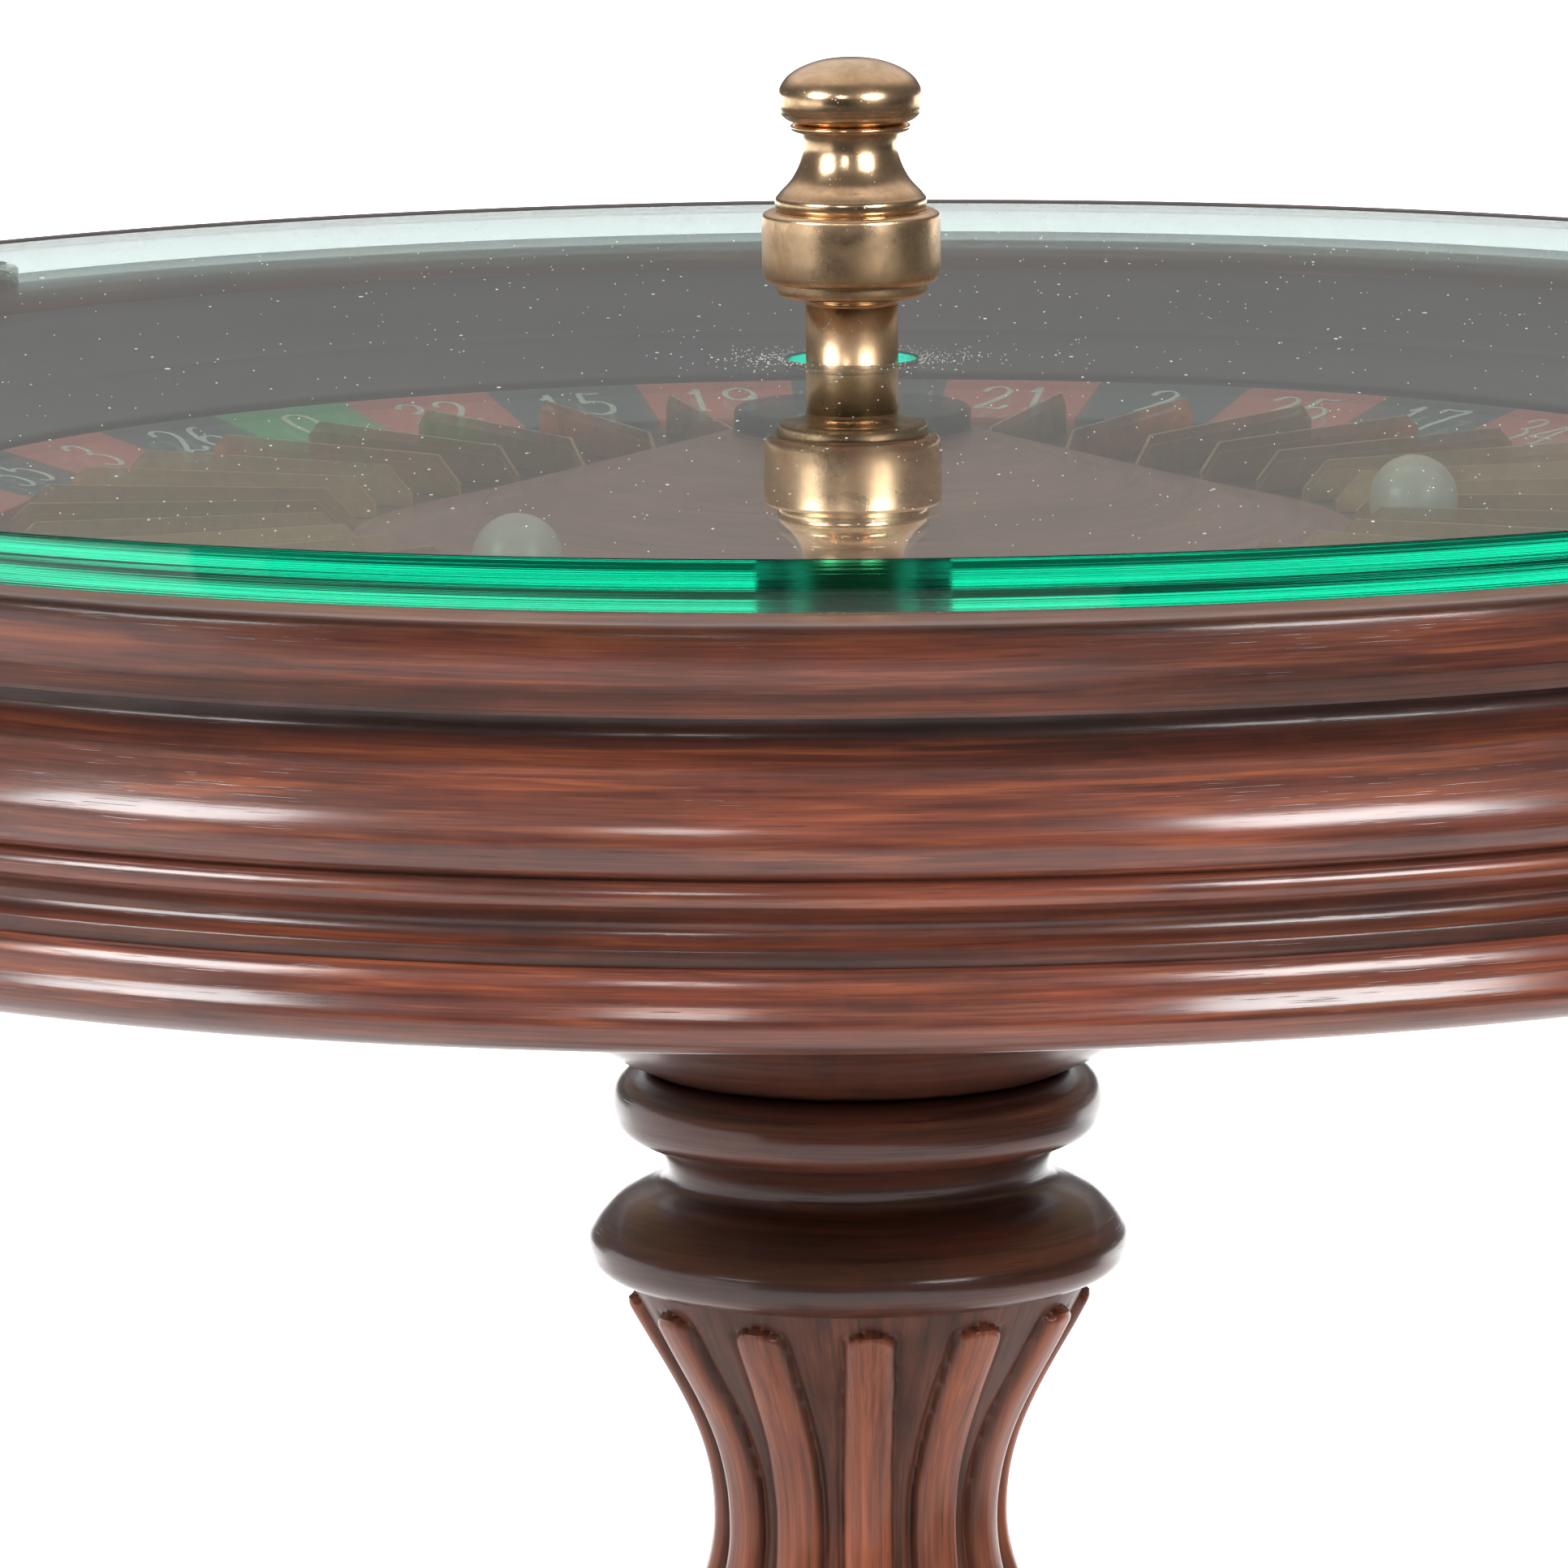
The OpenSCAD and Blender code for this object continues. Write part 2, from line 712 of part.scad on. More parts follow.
// ---- Balls ----

// Each ball lies in a pocket, which is counted from the first divider towards +X
ball_pockets = [9, 21];
function pocket_angle(k) = 90 - first_divider_deg - (k + 0.5) * 360 / pockets;

module ball(i) {
  color(bone) rotate([0, 0, pocket_angle(ball_pockets[i - 1])])
    translate([ball_ring_r, 0, pocket_z + ball_r + 0.02]) sphere(r = ball_r);
}

glass_top();
glass_standoffs();
standoff_pads();
standoff_screws();
rim_ring();
apron_ring();
base_moulding();
bowl_bank();
drum_board();
board_screws();
bearing_housing();
housing_screws();
outer_race(lower_bearing_z);  // lower_bearing_outer
outer_race(upper_bearing_z);  // upper_bearing_outer
drum_cleat();
cleat_screws();
column_capital();
reeded_shaft();
column_base();
leg_hub();
hub_pendant();
tie_rod();
tie_nuts();
leg(1);  // leg_1
leg(2);  // leg_2
leg(3);  // leg_3
leg(4);  // leg_4
toe_cap(1);  // toe_cap_1
toe_cap(2);  // toe_cap_2
toe_cap(3);  // toe_cap_3
toe_cap(4);  // toe_cap_4
foot_glides();
wheel_disc();
number_ring();
pocket_floor();
pocket_dividers();
centre_cone();
spindle_flange();
spindle();
finial_collar();
finial_vase();
finial_knob();
hub_plate();
hub_screws();
pivot_shaft();
bearing_spacer();
shaft_nut();
inner_race(lower_bearing_z);  // lower_bearing_inner
inner_race(upper_bearing_z);  // upper_bearing_inner
race_balls(lower_bearing_z);  // lower_bearing_balls
race_balls(upper_bearing_z);  // upper_bearing_balls
ball(1);  // ball_1
ball(2);  // ball_2
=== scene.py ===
"""A glass-topped roulette table: its looks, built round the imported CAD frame. Metres, Z up."""

import random
from math import cos, dist, exp, hypot, pi, radians, sin, sqrt

import bpy
import numpy as np
from numpy.linalg import norm
from mathutils import Matrix, Vector, noise


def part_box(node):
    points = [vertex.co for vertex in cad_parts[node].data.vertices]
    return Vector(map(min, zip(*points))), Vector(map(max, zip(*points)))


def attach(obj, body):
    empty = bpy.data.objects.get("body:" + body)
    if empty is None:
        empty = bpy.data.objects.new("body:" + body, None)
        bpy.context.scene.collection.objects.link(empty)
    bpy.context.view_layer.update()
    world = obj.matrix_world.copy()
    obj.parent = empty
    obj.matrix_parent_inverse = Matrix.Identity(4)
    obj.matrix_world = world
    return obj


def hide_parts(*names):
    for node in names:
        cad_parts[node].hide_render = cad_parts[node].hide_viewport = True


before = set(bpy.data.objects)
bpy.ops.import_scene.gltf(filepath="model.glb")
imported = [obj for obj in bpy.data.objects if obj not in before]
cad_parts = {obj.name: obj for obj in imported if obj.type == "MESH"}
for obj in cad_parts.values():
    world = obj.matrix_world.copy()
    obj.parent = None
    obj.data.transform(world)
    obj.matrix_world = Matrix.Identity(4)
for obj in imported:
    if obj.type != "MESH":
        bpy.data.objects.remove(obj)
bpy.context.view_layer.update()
scene = bpy.context.scene
MM = 0.001
TAU = 2 * pi

# ---- places taken from the frame

GLASS_LOW, GLASS_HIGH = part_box("glass_top")
GLASS_R = GLASS_HIGH.x
GLASS_TOP = GLASS_HIGH.z
GLASS_UNDER = GLASS_LOW.z
RIM_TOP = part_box("rim_ring")[1].z
DRUM_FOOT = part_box("base_moulding")[0].z
POCKET_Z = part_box("pocket_floor")[1].z
DISC_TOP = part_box("wheel_disc")[1].z
CAPITAL_LOW, CAPITAL_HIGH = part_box("column_capital")
SHAFT_LOW, SHAFT_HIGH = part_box("reeded_shaft")
HUB_LOW, HUB_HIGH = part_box("leg_hub")
FLANGE_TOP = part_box("spindle_flange")[1].z
POCKETS = 37
FIRST_DIVIDER = radians(5.9)  # from +Y towards +X
HOLE_R = 0.016
# Bores in mm, as in the CAD: the tie rod's, the wheel shaft's, the finial's and the standoff screws'
ROD_BORE, AXLE_BORE, FINIAL_BORE, SCREW_BORE = 5.4, 6.1, 4.1, 1.95


# ---- mesh helpers

def link(name, mesh, material, body, slot=None, replaces=(), smooth=True):
    """Makes a piece of a mesh, with its material, its body and the nodes that it stands for."""
    piece = bpy.data.objects.new(name, mesh)
    scene.collection.objects.link(piece)
    mesh.materials.append(material)
    if smooth:
        mesh.shade_smooth()
        mesh.set_sharp_from_angle(angle=radians(38))
    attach(piece, body)
    if replaces:
        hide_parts(*replaces)
    return piece


def new_mesh(name, points, faces):
    mesh = bpy.data.meshes.new(name)
    mesh.from_pydata(points, [], faces)
    return mesh


def lifted(base, points):
    """(r, z) points in mm whose heights are given from base."""
    return [(p[0], base + p[1], *p[2:]) for p in points]


def curve_through(points, steps=6):
    """A smooth line through (r, z) points, in mm; a point with a third value is a sharp corner."""
    pts = [np.array(p[:2], float) for p in points]
    sharp = [len(p) > 2 for p in points]
    out = [pts[0]]
    for i in range(len(pts) - 1):
        a, b = pts[i], pts[i + 1]
        before = pts[i - 1] if i > 0 and not sharp[i] else 2 * a - b
        after = pts[i + 2] if i + 2 < len(pts) and not sharp[i + 1] else 2 * b - a
        d0 = max(norm(a - before), 1e-6) ** 0.5
        d1 = max(norm(b - a), 1e-6) ** 0.5
        d2 = max(norm(after - b), 1e-6) ** 0.5
        m0 = ((a - before) / d0 - (b - before) / (d0 + d1) + (b - a) / d1) * d1
        m1 = ((b - a) / d1 - (after - a) / (d1 + d2) + (after - b) / d2) * d1
        for k in range(1, steps + 1):
            t = k / steps
            out.append((2 * t ** 3 - 3 * t * t + 1) * a + (t ** 3 - 2 * t * t + t) * m0
                       + (3 * t * t - 2 * t ** 3) * b + (t ** 3 - t * t) * m1)
    return np.array(out)


def arc(cx, cz, r, start, end, n=8):
    """Points of an arc, in mm and degrees."""
    return [(cx + r * cos(radians(start + (end - start) * i / n)),
             cz + r * sin(radians(start + (end - start) * i / n))) for i in range(n + 1)]


def hollowness(profile):
    """How deep in a hollow each point of a closed (r, z) outline in mm lies, 0 to 1."""
    reach, step = 2.6, 0.4
    seg = norm(np.roll(profile, -1, 0) - profile, axis=1)
    s = np.concatenate([[0], np.cumsum(seg)[:-1]])
    total = seg.sum()
    grid = np.arange(0, total, step)
    wrapped = np.concatenate([s, [total]])
    closed = np.vstack([profile, profile[:1]])
    fine = np.stack([np.interp(grid, wrapped, closed[:, i]) for i in range(2)], 1)
    n = int(reach / step)
    mean = sum(np.roll(fine, k, 0) for k in range(-n, n + 1)) / (2 * n + 1)
    tangent = np.roll(fine, -1, 0) - np.roll(fine, 1, 0)
    normal = np.stack([tangent[:, 1], -tangent[:, 0]], 1)
    normal /= np.maximum(norm(normal, axis=1), 1e-9)[:, None]
    depth = np.einsum("ij,ij->i", mean - fine, normal)
    value = np.clip(depth / (0.22 * reach), 0, 1)
    value = sum(np.roll(value, k) for k in range(-2, 3)) / 5
    return np.interp(s, grid, value)


def set_vectors(mesh, name, values):
    attribute = mesh.attributes.new(name, "FLOAT_VECTOR", "CORNER")
    attribute.data.foreach_set("vector", np.asarray(values, np.float32).ravel())


def set_grain(mesh, by_point):
    index = np.zeros(len(mesh.loops), int)
    mesh.loops.foreach_get("vertex_index", index)
    set_vectors(mesh, "grain", by_point[index])


def set_floats(mesh, name, values, domain="POINT"):
    attribute = mesh.attributes.new(name, "FLOAT", domain)
    attribute.data.foreach_set("value", np.asarray(values, np.float32).ravel())


def lathe(name, outline, n=256, wobble=0.0, wave=45.0, seed=0.0, grain="round", joints=0, glaze=True,
          stain=()):
    """A turned ring or solid from a closed outline of (r, z) in mm, anticlockwise with r to the right.

    The bands in the last argument, as (lower z, upper z, amount), are darkened: dark glaze together with
    painted shade. Theta runs from back to back.
    stain lists bands of dark glaze as (lower z, upper z, amount). Theta runs from back to back.
    The grain attribute holds lengths in metres: along the grain, across it, and depth."""
    p = np.asarray(outline, float)
    area = np.sum(p[:, 0] * np.roll(p[:, 1], -1) - np.roll(p[:, 0], -1) * p[:, 1])
    if area < 0:
        p = p[::-1]
    m = len(p)
    hollow = hollowness(p) if glaze else np.zeros(m)
    for low, high, amount in stain:
        hollow = np.maximum(hollow, amount * ((p[:, 1] >= low) & (p[:, 1] <= high)))
    seg = norm(np.roll(p, -1, 0) - p, axis=1)
    s = np.concatenate([[0], np.cumsum(seg)])
    theta = np.arange(n) / n * TAU
    verts = np.zeros((n, m, 3))
    for i, t in enumerate(theta):
        r = p[:, 0]
        if wobble:
            off = np.array([noise.noise(Vector((cos(t) * rr / wave, sin(t) * rr / wave,
                                                zz / (wave * 0.45) + seed))) for rr, zz in p])
            r = np.where(p[:, 0] > 1, r + wobble * off, r)
        verts[i, :, 0] = -r * sin(t)
        verts[i, :, 1] = r * cos(t)
        verts[i, :, 2] = p[:, 1]
    verts *= MM
    i, j = np.meshgrid(np.arange(n), np.arange(m), indexing="ij")
    i1, j1 = (i + 1) % n, (j + 1) % m
    faces = np.stack([i * m + j, i1 * m + j, i1 * m + j1, i * m + j1], -1).reshape(-1, 4)
    on_axis = (p[j.ravel() % m, 0] < 1e-6) & (p[j1.ravel(), 0] < 1e-6)
    faces = faces[~on_axis]
    ring_i = i.ravel()[~on_axis]
    ring_j = j.ravel()[~on_axis]
    mesh = new_mesh(name, verts.reshape(-1, 3).tolist(), faces.tolist())
    ref = p[:, 0].max()
    t0, t1 = ring_i / n * TAU, (ring_i + 1) / n * TAU
    s0, s1 = s[ring_j], s[ring_j + 1]
    piece_no = np.floor((t0 + t1) / 2 / TAU * joints)
    shift = np.array([(k * 7.31 + seed * 3.7) % 5.0 for k in piece_no])
    us = np.stack([t0, t1, t1, t0], 1)
    vs = np.stack([s0, s0, s1, s1], 1) * MM
    rs = np.stack([p[ring_j, 0]] * 4, 1) * MM
    if grain == "round":
        vec = np.stack([us * ref * MM + shift[:, None], vs + shift[:, None] * 0.37, rs], -1)
    else:
        vec = np.stack([vs + seed, us * ref * MM, rs], -1)
    set_vectors(mesh, "grain", vec.reshape(-1, 3))
    set_floats(mesh, "hollow", np.tile(hollow, n))
    mesh.update()
    mesh.validate()
    return mesh


def turned(name, outline, look, node, n=256, wobble=0.0, wave=45.0, seed=0.0, smooth=True, **more):
    """A turned piece that stands for one CAD node; look is its material, body and slot."""
    return link(name, lathe(name, outline, n, wobble, wave, seed, **more), *look, (node,), smooth)


# ---- shader helpers

class Nodes:
    """Short calls that add nodes to a material, or to the sky, and link them."""

    def __init__(self, name, sky=False):
        self.mat = (bpy.data.worlds if sky else bpy.data.materials).new(name)
        self.mat.use_nodes = True
        self.tree = self.mat.node_tree
        self.tree.nodes.clear()
        self.out = self.node("OutputWorld" if sky else "OutputMaterial")

    def feed(self, socket, value):
        if isinstance(value, bpy.types.NodeSocket):
            self.tree.links.new(value, socket)
        elif value is not None:
            if socket.type == "RGBA" and len(value) == 3:
                value = (*value, 1.0)
            socket.default_value = value

    def node(self, kind, inputs=None, **settings):
        made = self.tree.nodes.new("ShaderNode" + kind)
        for key, value in settings.items():
            setattr(made, key, value)
        for key, value in (inputs or {}).items():
            self.feed(made.inputs[key], value)
        return made

    def attribute(self, name):
        return self.node("Attribute", attribute_name=name)

    def position(self):
        return self.node("TexCoord").outputs["Object"]

    def stretch(self, vector, scale, location=(0, 0, 0)):
        return self.node("Mapping", {"Vector": vector, "Scale": scale, "Location": location}).outputs[0]

    def noise(self, vector, scale, detail=3.0, rough=0.5, distortion=0.0):
        made = self.node("TexNoise", {"Vector": vector, "Scale": scale, "Detail": detail,
                                      "Roughness": rough, "Distortion": distortion})
        return made.outputs["Fac"]

    def streaks(self, vector, scale, detail, rough=0.5, distortion=0.0, location=(0, 0, 0)):
        """Noise whose scale differs along the grain, across it and with depth."""
        return self.noise(self.stretch(vector, scale, location), 1.0, detail, rough, distortion)

    def cells(self, vector, scale):
        return self.node("TexVoronoi", {"Vector": vector, "Scale": scale}).outputs["Distance"]

    def ramp(self, value, *stops):
        made = self.node("ValToRGB", {0: value})
        elements = made.color_ramp.elements
        while len(elements) < len(stops):
            elements.new(0.5)
        for element, (at, colour) in zip(elements, stops):
            element.position = at
            element.color = (*(colour if hasattr(colour, "__len__") else (colour,) * 3), 1.0)
        return made.outputs[0]

    def math(self, how, a, b, clamp=False):
        return self.node("Math", {0: a, 1: b}, operation=how, use_clamp=clamp).outputs[0]

    def times(self, a, b, clamp=False):
        return self.math("MULTIPLY", a, b, clamp)

    def mix(self, fac, a, b, how="MIX"):
        return self.node("Mix", {"Factor": fac, 6: a, 7: b}, data_type="RGBA", blend_type=how).outputs[2]

    def bump(self, height, strength, distance):
        made = self.node("Bump", {"Height": height, "Strength": strength, "Distance": distance})
        return made.outputs[0]

    def shader(self, **inputs):
        made = self.node("BsdfPrincipled", {k.replace("_", " "): value for k, value in inputs.items()})
        self.tree.links.new(made.outputs[0], self.out.inputs["Surface"])
        return made


def scaled(colour, amount):
    return tuple(c * amount for c in colour)


def wood(name, light, dark, glaze, warm=None, flame=0.6, glaze_amount=0.9, rough=0.34, coat=0.85,
         mottle=0.5):
    """Stained and lacquered wood. Colours are linear; the grain attribute says which way it runs."""
    n = Nodes(name)
    v = n.attribute("grain").outputs["Vector"]
    warm = warm or light
    long_streak = n.streaks(v, (5, 130, 40), 4, 0.6, 0.4)
    fine = n.streaks(v, (30, 1500, 200), 3, 0.65)
    broad = n.streaks(v, (9, 26, 9), 3, 0.55, 0.6)
    flecks = n.streaks(v, (17, 430, 60), 3, 0.6, 0.35, location=(1, 4, 0))
    figure = n.streaks(v, (38, 55, 20), 2, 0.5, 1.2, location=(3, 1, 0))
    colour = n.mix(n.ramp(long_streak, (0.34, 0), (0.66, 1)), dark, light)
    colour = n.mix(n.times(n.ramp(flecks, (0.52, 0), (0.66, 1)), flame), colour, warm)
    colour = n.mix(n.times(n.ramp(flecks, (0.34, 1), (0.47, 0)), 0.6), colour,
                   scaled(dark, 0.5))
    colour = n.mix(n.times(n.ramp(broad, (0.42, 0), (0.68, 1)), mottle), colour, glaze)
    colour = n.mix(n.times(n.ramp(figure, (0.5, 0), (0.75, 1)), 0.28), colour, light)
    colour = n.mix(0.35, colour, n.ramp(fine, (0.36, 0.25), (0.62, 1)), "MULTIPLY")
    pore = n.streaks(v, (60, 2600, 400), 1, 0.5, location=(0, 5, 0))
    pore = n.ramp(pore, (0.66, 0), (0.74, 1))
    colour = n.mix(n.times(pore, 0.5), colour, scaled(dark, 0.35))
    hollow = n.attribute("hollow").outputs["Fac"]
    uneven = n.ramp(n.streaks(v, (24, 60, 30), 3, 0.6, location=(7, 0, 0)), (0.25, 0.55), (0.75, 1.15))
    # Dark glaze in the hollows together with painted shade in the darkened bands; the coat is duller
    # there too
    glaze_and_shade_mask = n.times(n.times(hollow, uneven), glaze_amount, clamp=True)
    colour = n.mix(glaze_and_shade_mask, colour, scaled(glaze, 0.8))
    roughness = n.math("ADD", n.ramp(broad, (0.3, rough - 0.05), (0.7, rough + 0.09)),
                       n.times(glaze_and_shade_mask, 0.12))
    swell = n.streaks(v, (14, 45, 30), 2, 0.5)
    height = n.math("ADD", n.times(fine, 0.05), swell)
    height = n.math("SUBTRACT", height, n.times(pore, 0.05))
    normal = n.bump(height, 0.35, 0.0012)
    shine = n.times(n.math("SUBTRACT", 1.0, n.times(glaze_and_shade_mask, 0.75)), coat)
    n.shader(Base_Color=colour, Roughness=roughness, Normal=normal, IOR=1.48, Specular_IOR_Level=0.22,
             Coat_Weight=shine, Coat_Roughness=0.17, Coat_IOR=1.5, Coat_Normal=normal)
    return n.mat


def brass(name, bright, dark, rough=0.2, tarnish=0.5):
    """Aged cast brass: tarnish in patches, small pits, slight unevenness."""
    n = Nodes(name)
    v = n.position()
    patches = n.noise(v, 70, 5, 0.62, 0.5)
    small = n.noise(v, 420, 3, 0.6)
    pits = n.cells(v, 900)
    pit = n.times(n.ramp(pits, (0, 1), (0.17, 0)),
                 n.ramp(n.noise(v, 160, 2), (0.5, 0), (0.62, 1)))
    aged = n.times(n.ramp(patches, (0.42, 0), (0.7, 1)), tarnish)
    colour = n.mix(aged, bright, dark)
    colour = n.mix(n.times(n.ramp(small, (0.4, 0), (0.75, 1)), 0.25), colour, dark)
    colour = n.mix(n.times(pit, 0.7), colour, scaled(dark, 0.3))
    roughness = n.math("ADD", n.ramp(patches, (0.35, rough - 0.04), (0.75, rough + 0.16)),
                       n.times(pit, 0.25))
    height = n.math("SUBTRACT", n.times(small, 0.25), pit)
    n.shader(Base_Color=colour, Metallic=1.0, Roughness=roughness, Normal=n.bump(height, 0.25, 0.0003))
    return n.mat


def satin_metal(name, colour):
    n = Nodes(name)
    v = n.position()
    lines = n.streaks(v, (300, 300, 2500), 2, 0.6)
    marks = n.noise(v, 120, 4, 0.6)
    shade = n.mix(n.ramp(marks, (0.3, 0), (0.7, 1)), scaled(colour, 0.72), colour)
    n.shader(Base_Color=shade, Metallic=1.0, Roughness=n.ramp(marks, (0.3, 0.27), (0.7, 0.45)),
             Normal=n.bump(lines, 0.12, 0.0002))
    return n.mat


def board(name, light, dark):
    """Sealed plywood or bare board, with veneer lines on its edge."""
    n = Nodes(name)
    v = n.position()
    grain_lines = n.streaks(v, (6, 160, 900), 4, 0.6, 0.5)
    tone = n.noise(v, 9, 3)
    colour = n.mix(n.ramp(grain_lines, (0.35, 0), (0.65, 1)), dark, light)
    colour = n.mix(n.times(tone, 0.3), colour, dark)
    n.shader(Base_Color=colour, Roughness=0.62, Normal=n.bump(grain_lines, 0.2, 0.0004))
    return n.mat


def felt(name, colour):
    n = Nodes(name)
    v = n.position()
    fuzz = n.noise(v, 2600, 3, 0.7)
    tone = n.mix(n.ramp(fuzz, (0.3, 0), (0.7, 1)), scaled(colour, 0.5), colour)
    n.shader(Base_Color=tone, Roughness=0.95, Sheen_Weight=0.4, Normal=n.bump(fuzz, 0.6, 0.0008))
    return n.mat


def glass_material():
    """Clear float glass: green over a long path. Lamps reach through it, so that the wheel is lit."""
    n = Nodes("float_glass")
    v = n.attribute("grain").outputs["Vector"]
    ground = n.attribute("ground").outputs["Fac"]
    lines = n.streaks(v, (0.5, 1300, 1), 3, 0.6)
    polish = n.times(lines, n.math("GREATER_THAN", ground, 0.01))
    lens = n.node("BsdfPrincipled", {
        "Base Color": (1, 1, 1), "IOR": 1.52, "Transmission Weight": 1.0,
        "Roughness": n.times(ground, 0.5), "Normal": n.bump(polish, 0.12, 0.0002)})
    open_way = n.node("BsdfTransparent", {"Color": (0.93, 0.93, 0.93)})
    shadow_ray = n.node("LightPath").outputs["Is Shadow Ray"]
    both = n.node("MixShader", {0: shadow_ray})
    n.tree.links.new(lens.outputs[0], both.inputs[1])
    n.tree.links.new(open_way.outputs[0], both.inputs[2])
    n.tree.links.new(both.outputs[0], n.out.inputs["Surface"])
    tint = n.node("VolumeAbsorption", {"Color": (0.10, 0.835, 0.73), "Density": 9.0})
    n.tree.links.new(tint.outputs[0], n.out.inputs["Volume"])
    return n.mat


def paint(name, colour, wear):
    """A painted segment: thin paint with small rubbed spots and a satin varnish."""
    n = Nodes(name)
    v = n.position()
    tone = n.noise(v, 60, 4, 0.6)
    spots = n.noise(v, 700, 3, 0.65)
    shade = n.mix(n.ramp(tone, (0.3, 0), (0.7, 1)), scaled(colour, 0.8), colour)
    shade = n.mix(n.ramp(spots, (0.66, 0), (0.76, 0.7)), shade, wear)
    n.shader(Base_Color=shade, Roughness=n.ramp(tone, (0.3, 0.38), (0.7, 0.5)),
             Normal=n.bump(spots, 0.1, 0.0003))
    return n.mat


def ball_material():
    n = Nodes("ball_ivory")
    v = n.position()
    tone = n.noise(v, 90, 4, 0.6)
    specks = n.times(n.ramp(n.cells(v, 900), (0.1, 1), (0.24, 0)),
                    n.ramp(n.noise(v, 300, 2), (0.52, 0), (0.6, 1)))
    colour = n.mix(n.ramp(tone, (0.3, 0), (0.7, 1)), (0.50, 0.40, 0.31), (0.62, 0.50, 0.40))
    colour = n.mix(n.times(specks, 0.75), colour, (0.16, 0.14, 0.10))
    n.shader(Base_Color=colour, Roughness=0.28, Subsurface_Weight=0.15,
             Subsurface_Radius=(0.004, 0.003, 0.002), Coat_Weight=0.3, Coat_Roughness=0.1,
             Normal=n.bump(specks, 0.2, 0.0003))
    return n.mat


# Dark glaze, which in the drum's darkened bands is painted shade as well
DARK_GLAZE_AND_SHADE = (0.028, 0.017, 0.014)
MAT_DRUM = wood("mahogany_drum", (0.205, 0.052, 0.027), (0.095, 0.026, 0.017), DARK_GLAZE_AND_SHADE,
                (0.34, 0.095, 0.036))
MAT_TURNED = wood("mahogany_turned", (0.135, 0.043, 0.025), (0.050, 0.020, 0.015), DARK_GLAZE_AND_SHADE, flame=0.3,
                  coat=0.6, mottle=0.75)
MAT_REEDED = wood("mahogany_reeded", (0.36, 0.105, 0.05), (0.20, 0.060, 0.032), DARK_GLAZE_AND_SHADE,
                  (0.42, 0.13, 0.055), flame=0.35, mottle=0.4, rough=0.4, coat=0.35)
MAT_BANK = wood("dark_bank", (0.060, 0.019, 0.016), (0.026, 0.010, 0.009), (0.012, 0.006, 0.005),
                glaze_amount=0.4)
MAT_CONE = wood("cone_wood", (0.38, 0.17, 0.125), (0.28, 0.125, 0.09), (0.16, 0.075, 0.055), rough=0.45,
                mottle=0.35, coat=0.15)
MAT_POCKET = wood("pocket_wood", (0.13, 0.075, 0.05), (0.075, 0.042, 0.03), (0.020, 0.013, 0.010),
                  rough=0.45, coat=0.1)
MAT_BRASS = brass("aged_brass", (0.80, 0.565, 0.345), (0.40, 0.235, 0.115), rough=0.2, tarnish=0.65)
MAT_SATIN = brass("satin_brass", (0.80, 0.565, 0.345), (0.40, 0.245, 0.125), rough=0.28, tarnish=0.7)
MAT_PLATE = brass("plate_brass", (0.90, 0.61, 0.33), (0.50, 0.29, 0.17), rough=0.36, tarnish=0.8)
MAT_BRONZE = brass("dark_bronze", (0.085, 0.080, 0.055), (0.035, 0.032, 0.024), rough=0.3)
MAT_CAP = brass("cap_brass", (0.50, 0.36, 0.17), (0.19, 0.12, 0.055), rough=0.28, tarnish=0.7)
MAT_STEEL = satin_metal("plain_steel", (0.45, 0.46, 0.47))
MAT_BOARD = board("sealed_board", (0.42, 0.27, 0.15), (0.24, 0.14, 0.075))
MAT_FELT = felt("glide_felt", (0.06, 0.07, 0.06))
MAT_GLASS = glass_material()
MAT_BALL = ball_material()
MAT_PAD = satin_metal("soft_pad", (0.7, 0.72, 0.7))
MAT_DUST = felt("pale_dust", (0.62, 0.60, 0.57))

# Material, body and slot of the pieces that a lathe makes
DRUM = (MAT_DRUM, "table", "mahogany")
TURNED = (MAT_TURNED, "table", "mahogany")
SPUN_BRASS = (MAT_BRASS, "wheel", "brass")
SATIN_BRASS = (MAT_SATIN, "wheel", "brass")

# ---- camera, light and floor

# The camera solved from the photograph: a long lens, its place from the glass's middle, its angles
LENS_MM, SENSOR_MM = 270.56, 36
CAMERA_BACK, CAMERA_UP = 2.9085, 0.35777
YAW, PITCH, ROLL = radians(-0.351), radians(9.083), radians(-0.491)

camera_data = bpy.data.cameras.new("camera")
camera = bpy.data.objects.new("camera", camera_data)
scene.collection.objects.link(camera)
scene.camera = camera
camera_data.lens = LENS_MM
camera_data.sensor_width = SENSOR_MM
camera_data.clip_start = 0.05
camera_data.clip_end = 60
forward = Vector((sin(YAW) * cos(PITCH), cos(YAW) * cos(PITCH), -sin(PITCH)))
level = Vector((cos(YAW), -sin(YAW), 0))
upward = level.cross(forward)
right = cos(ROLL) * level + sin(ROLL) * upward
top = -sin(ROLL) * level + cos(ROLL) * upward
camera.matrix_world = Matrix.Translation((0, -CAMERA_BACK, GLASS_TOP + CAMERA_UP)) @ Matrix(
    (right, top, -forward)).transposed().to_4x4()
LAMP_AIM = Vector((0, 0, 0.7))


def area_light(name, azimuth, elevation, distance, size, power, in_gloss=True):
    """A soft box. Azimuth 0 is the camera's side, positive to its right."""
    data = bpy.data.lights.new(name, "AREA")
    data.shape = "RECTANGLE"
    data.size, data.size_y = size
    data.energy = power
    lamp = bpy.data.objects.new(name, data)
    lamp.visible_glossy = lamp.visible_transmission = in_gloss
    scene.collection.objects.link(lamp)
    a, e = radians(azimuth), radians(elevation)
    way = Vector((sin(a) * cos(e), -cos(a) * cos(e), sin(e)))
    lamp.location = LAMP_AIM + way * distance
    lamp.rotation_mode = "QUATERNION"
    lamp.rotation_quaternion = way.to_track_quat("Z", "Y")
    return lamp


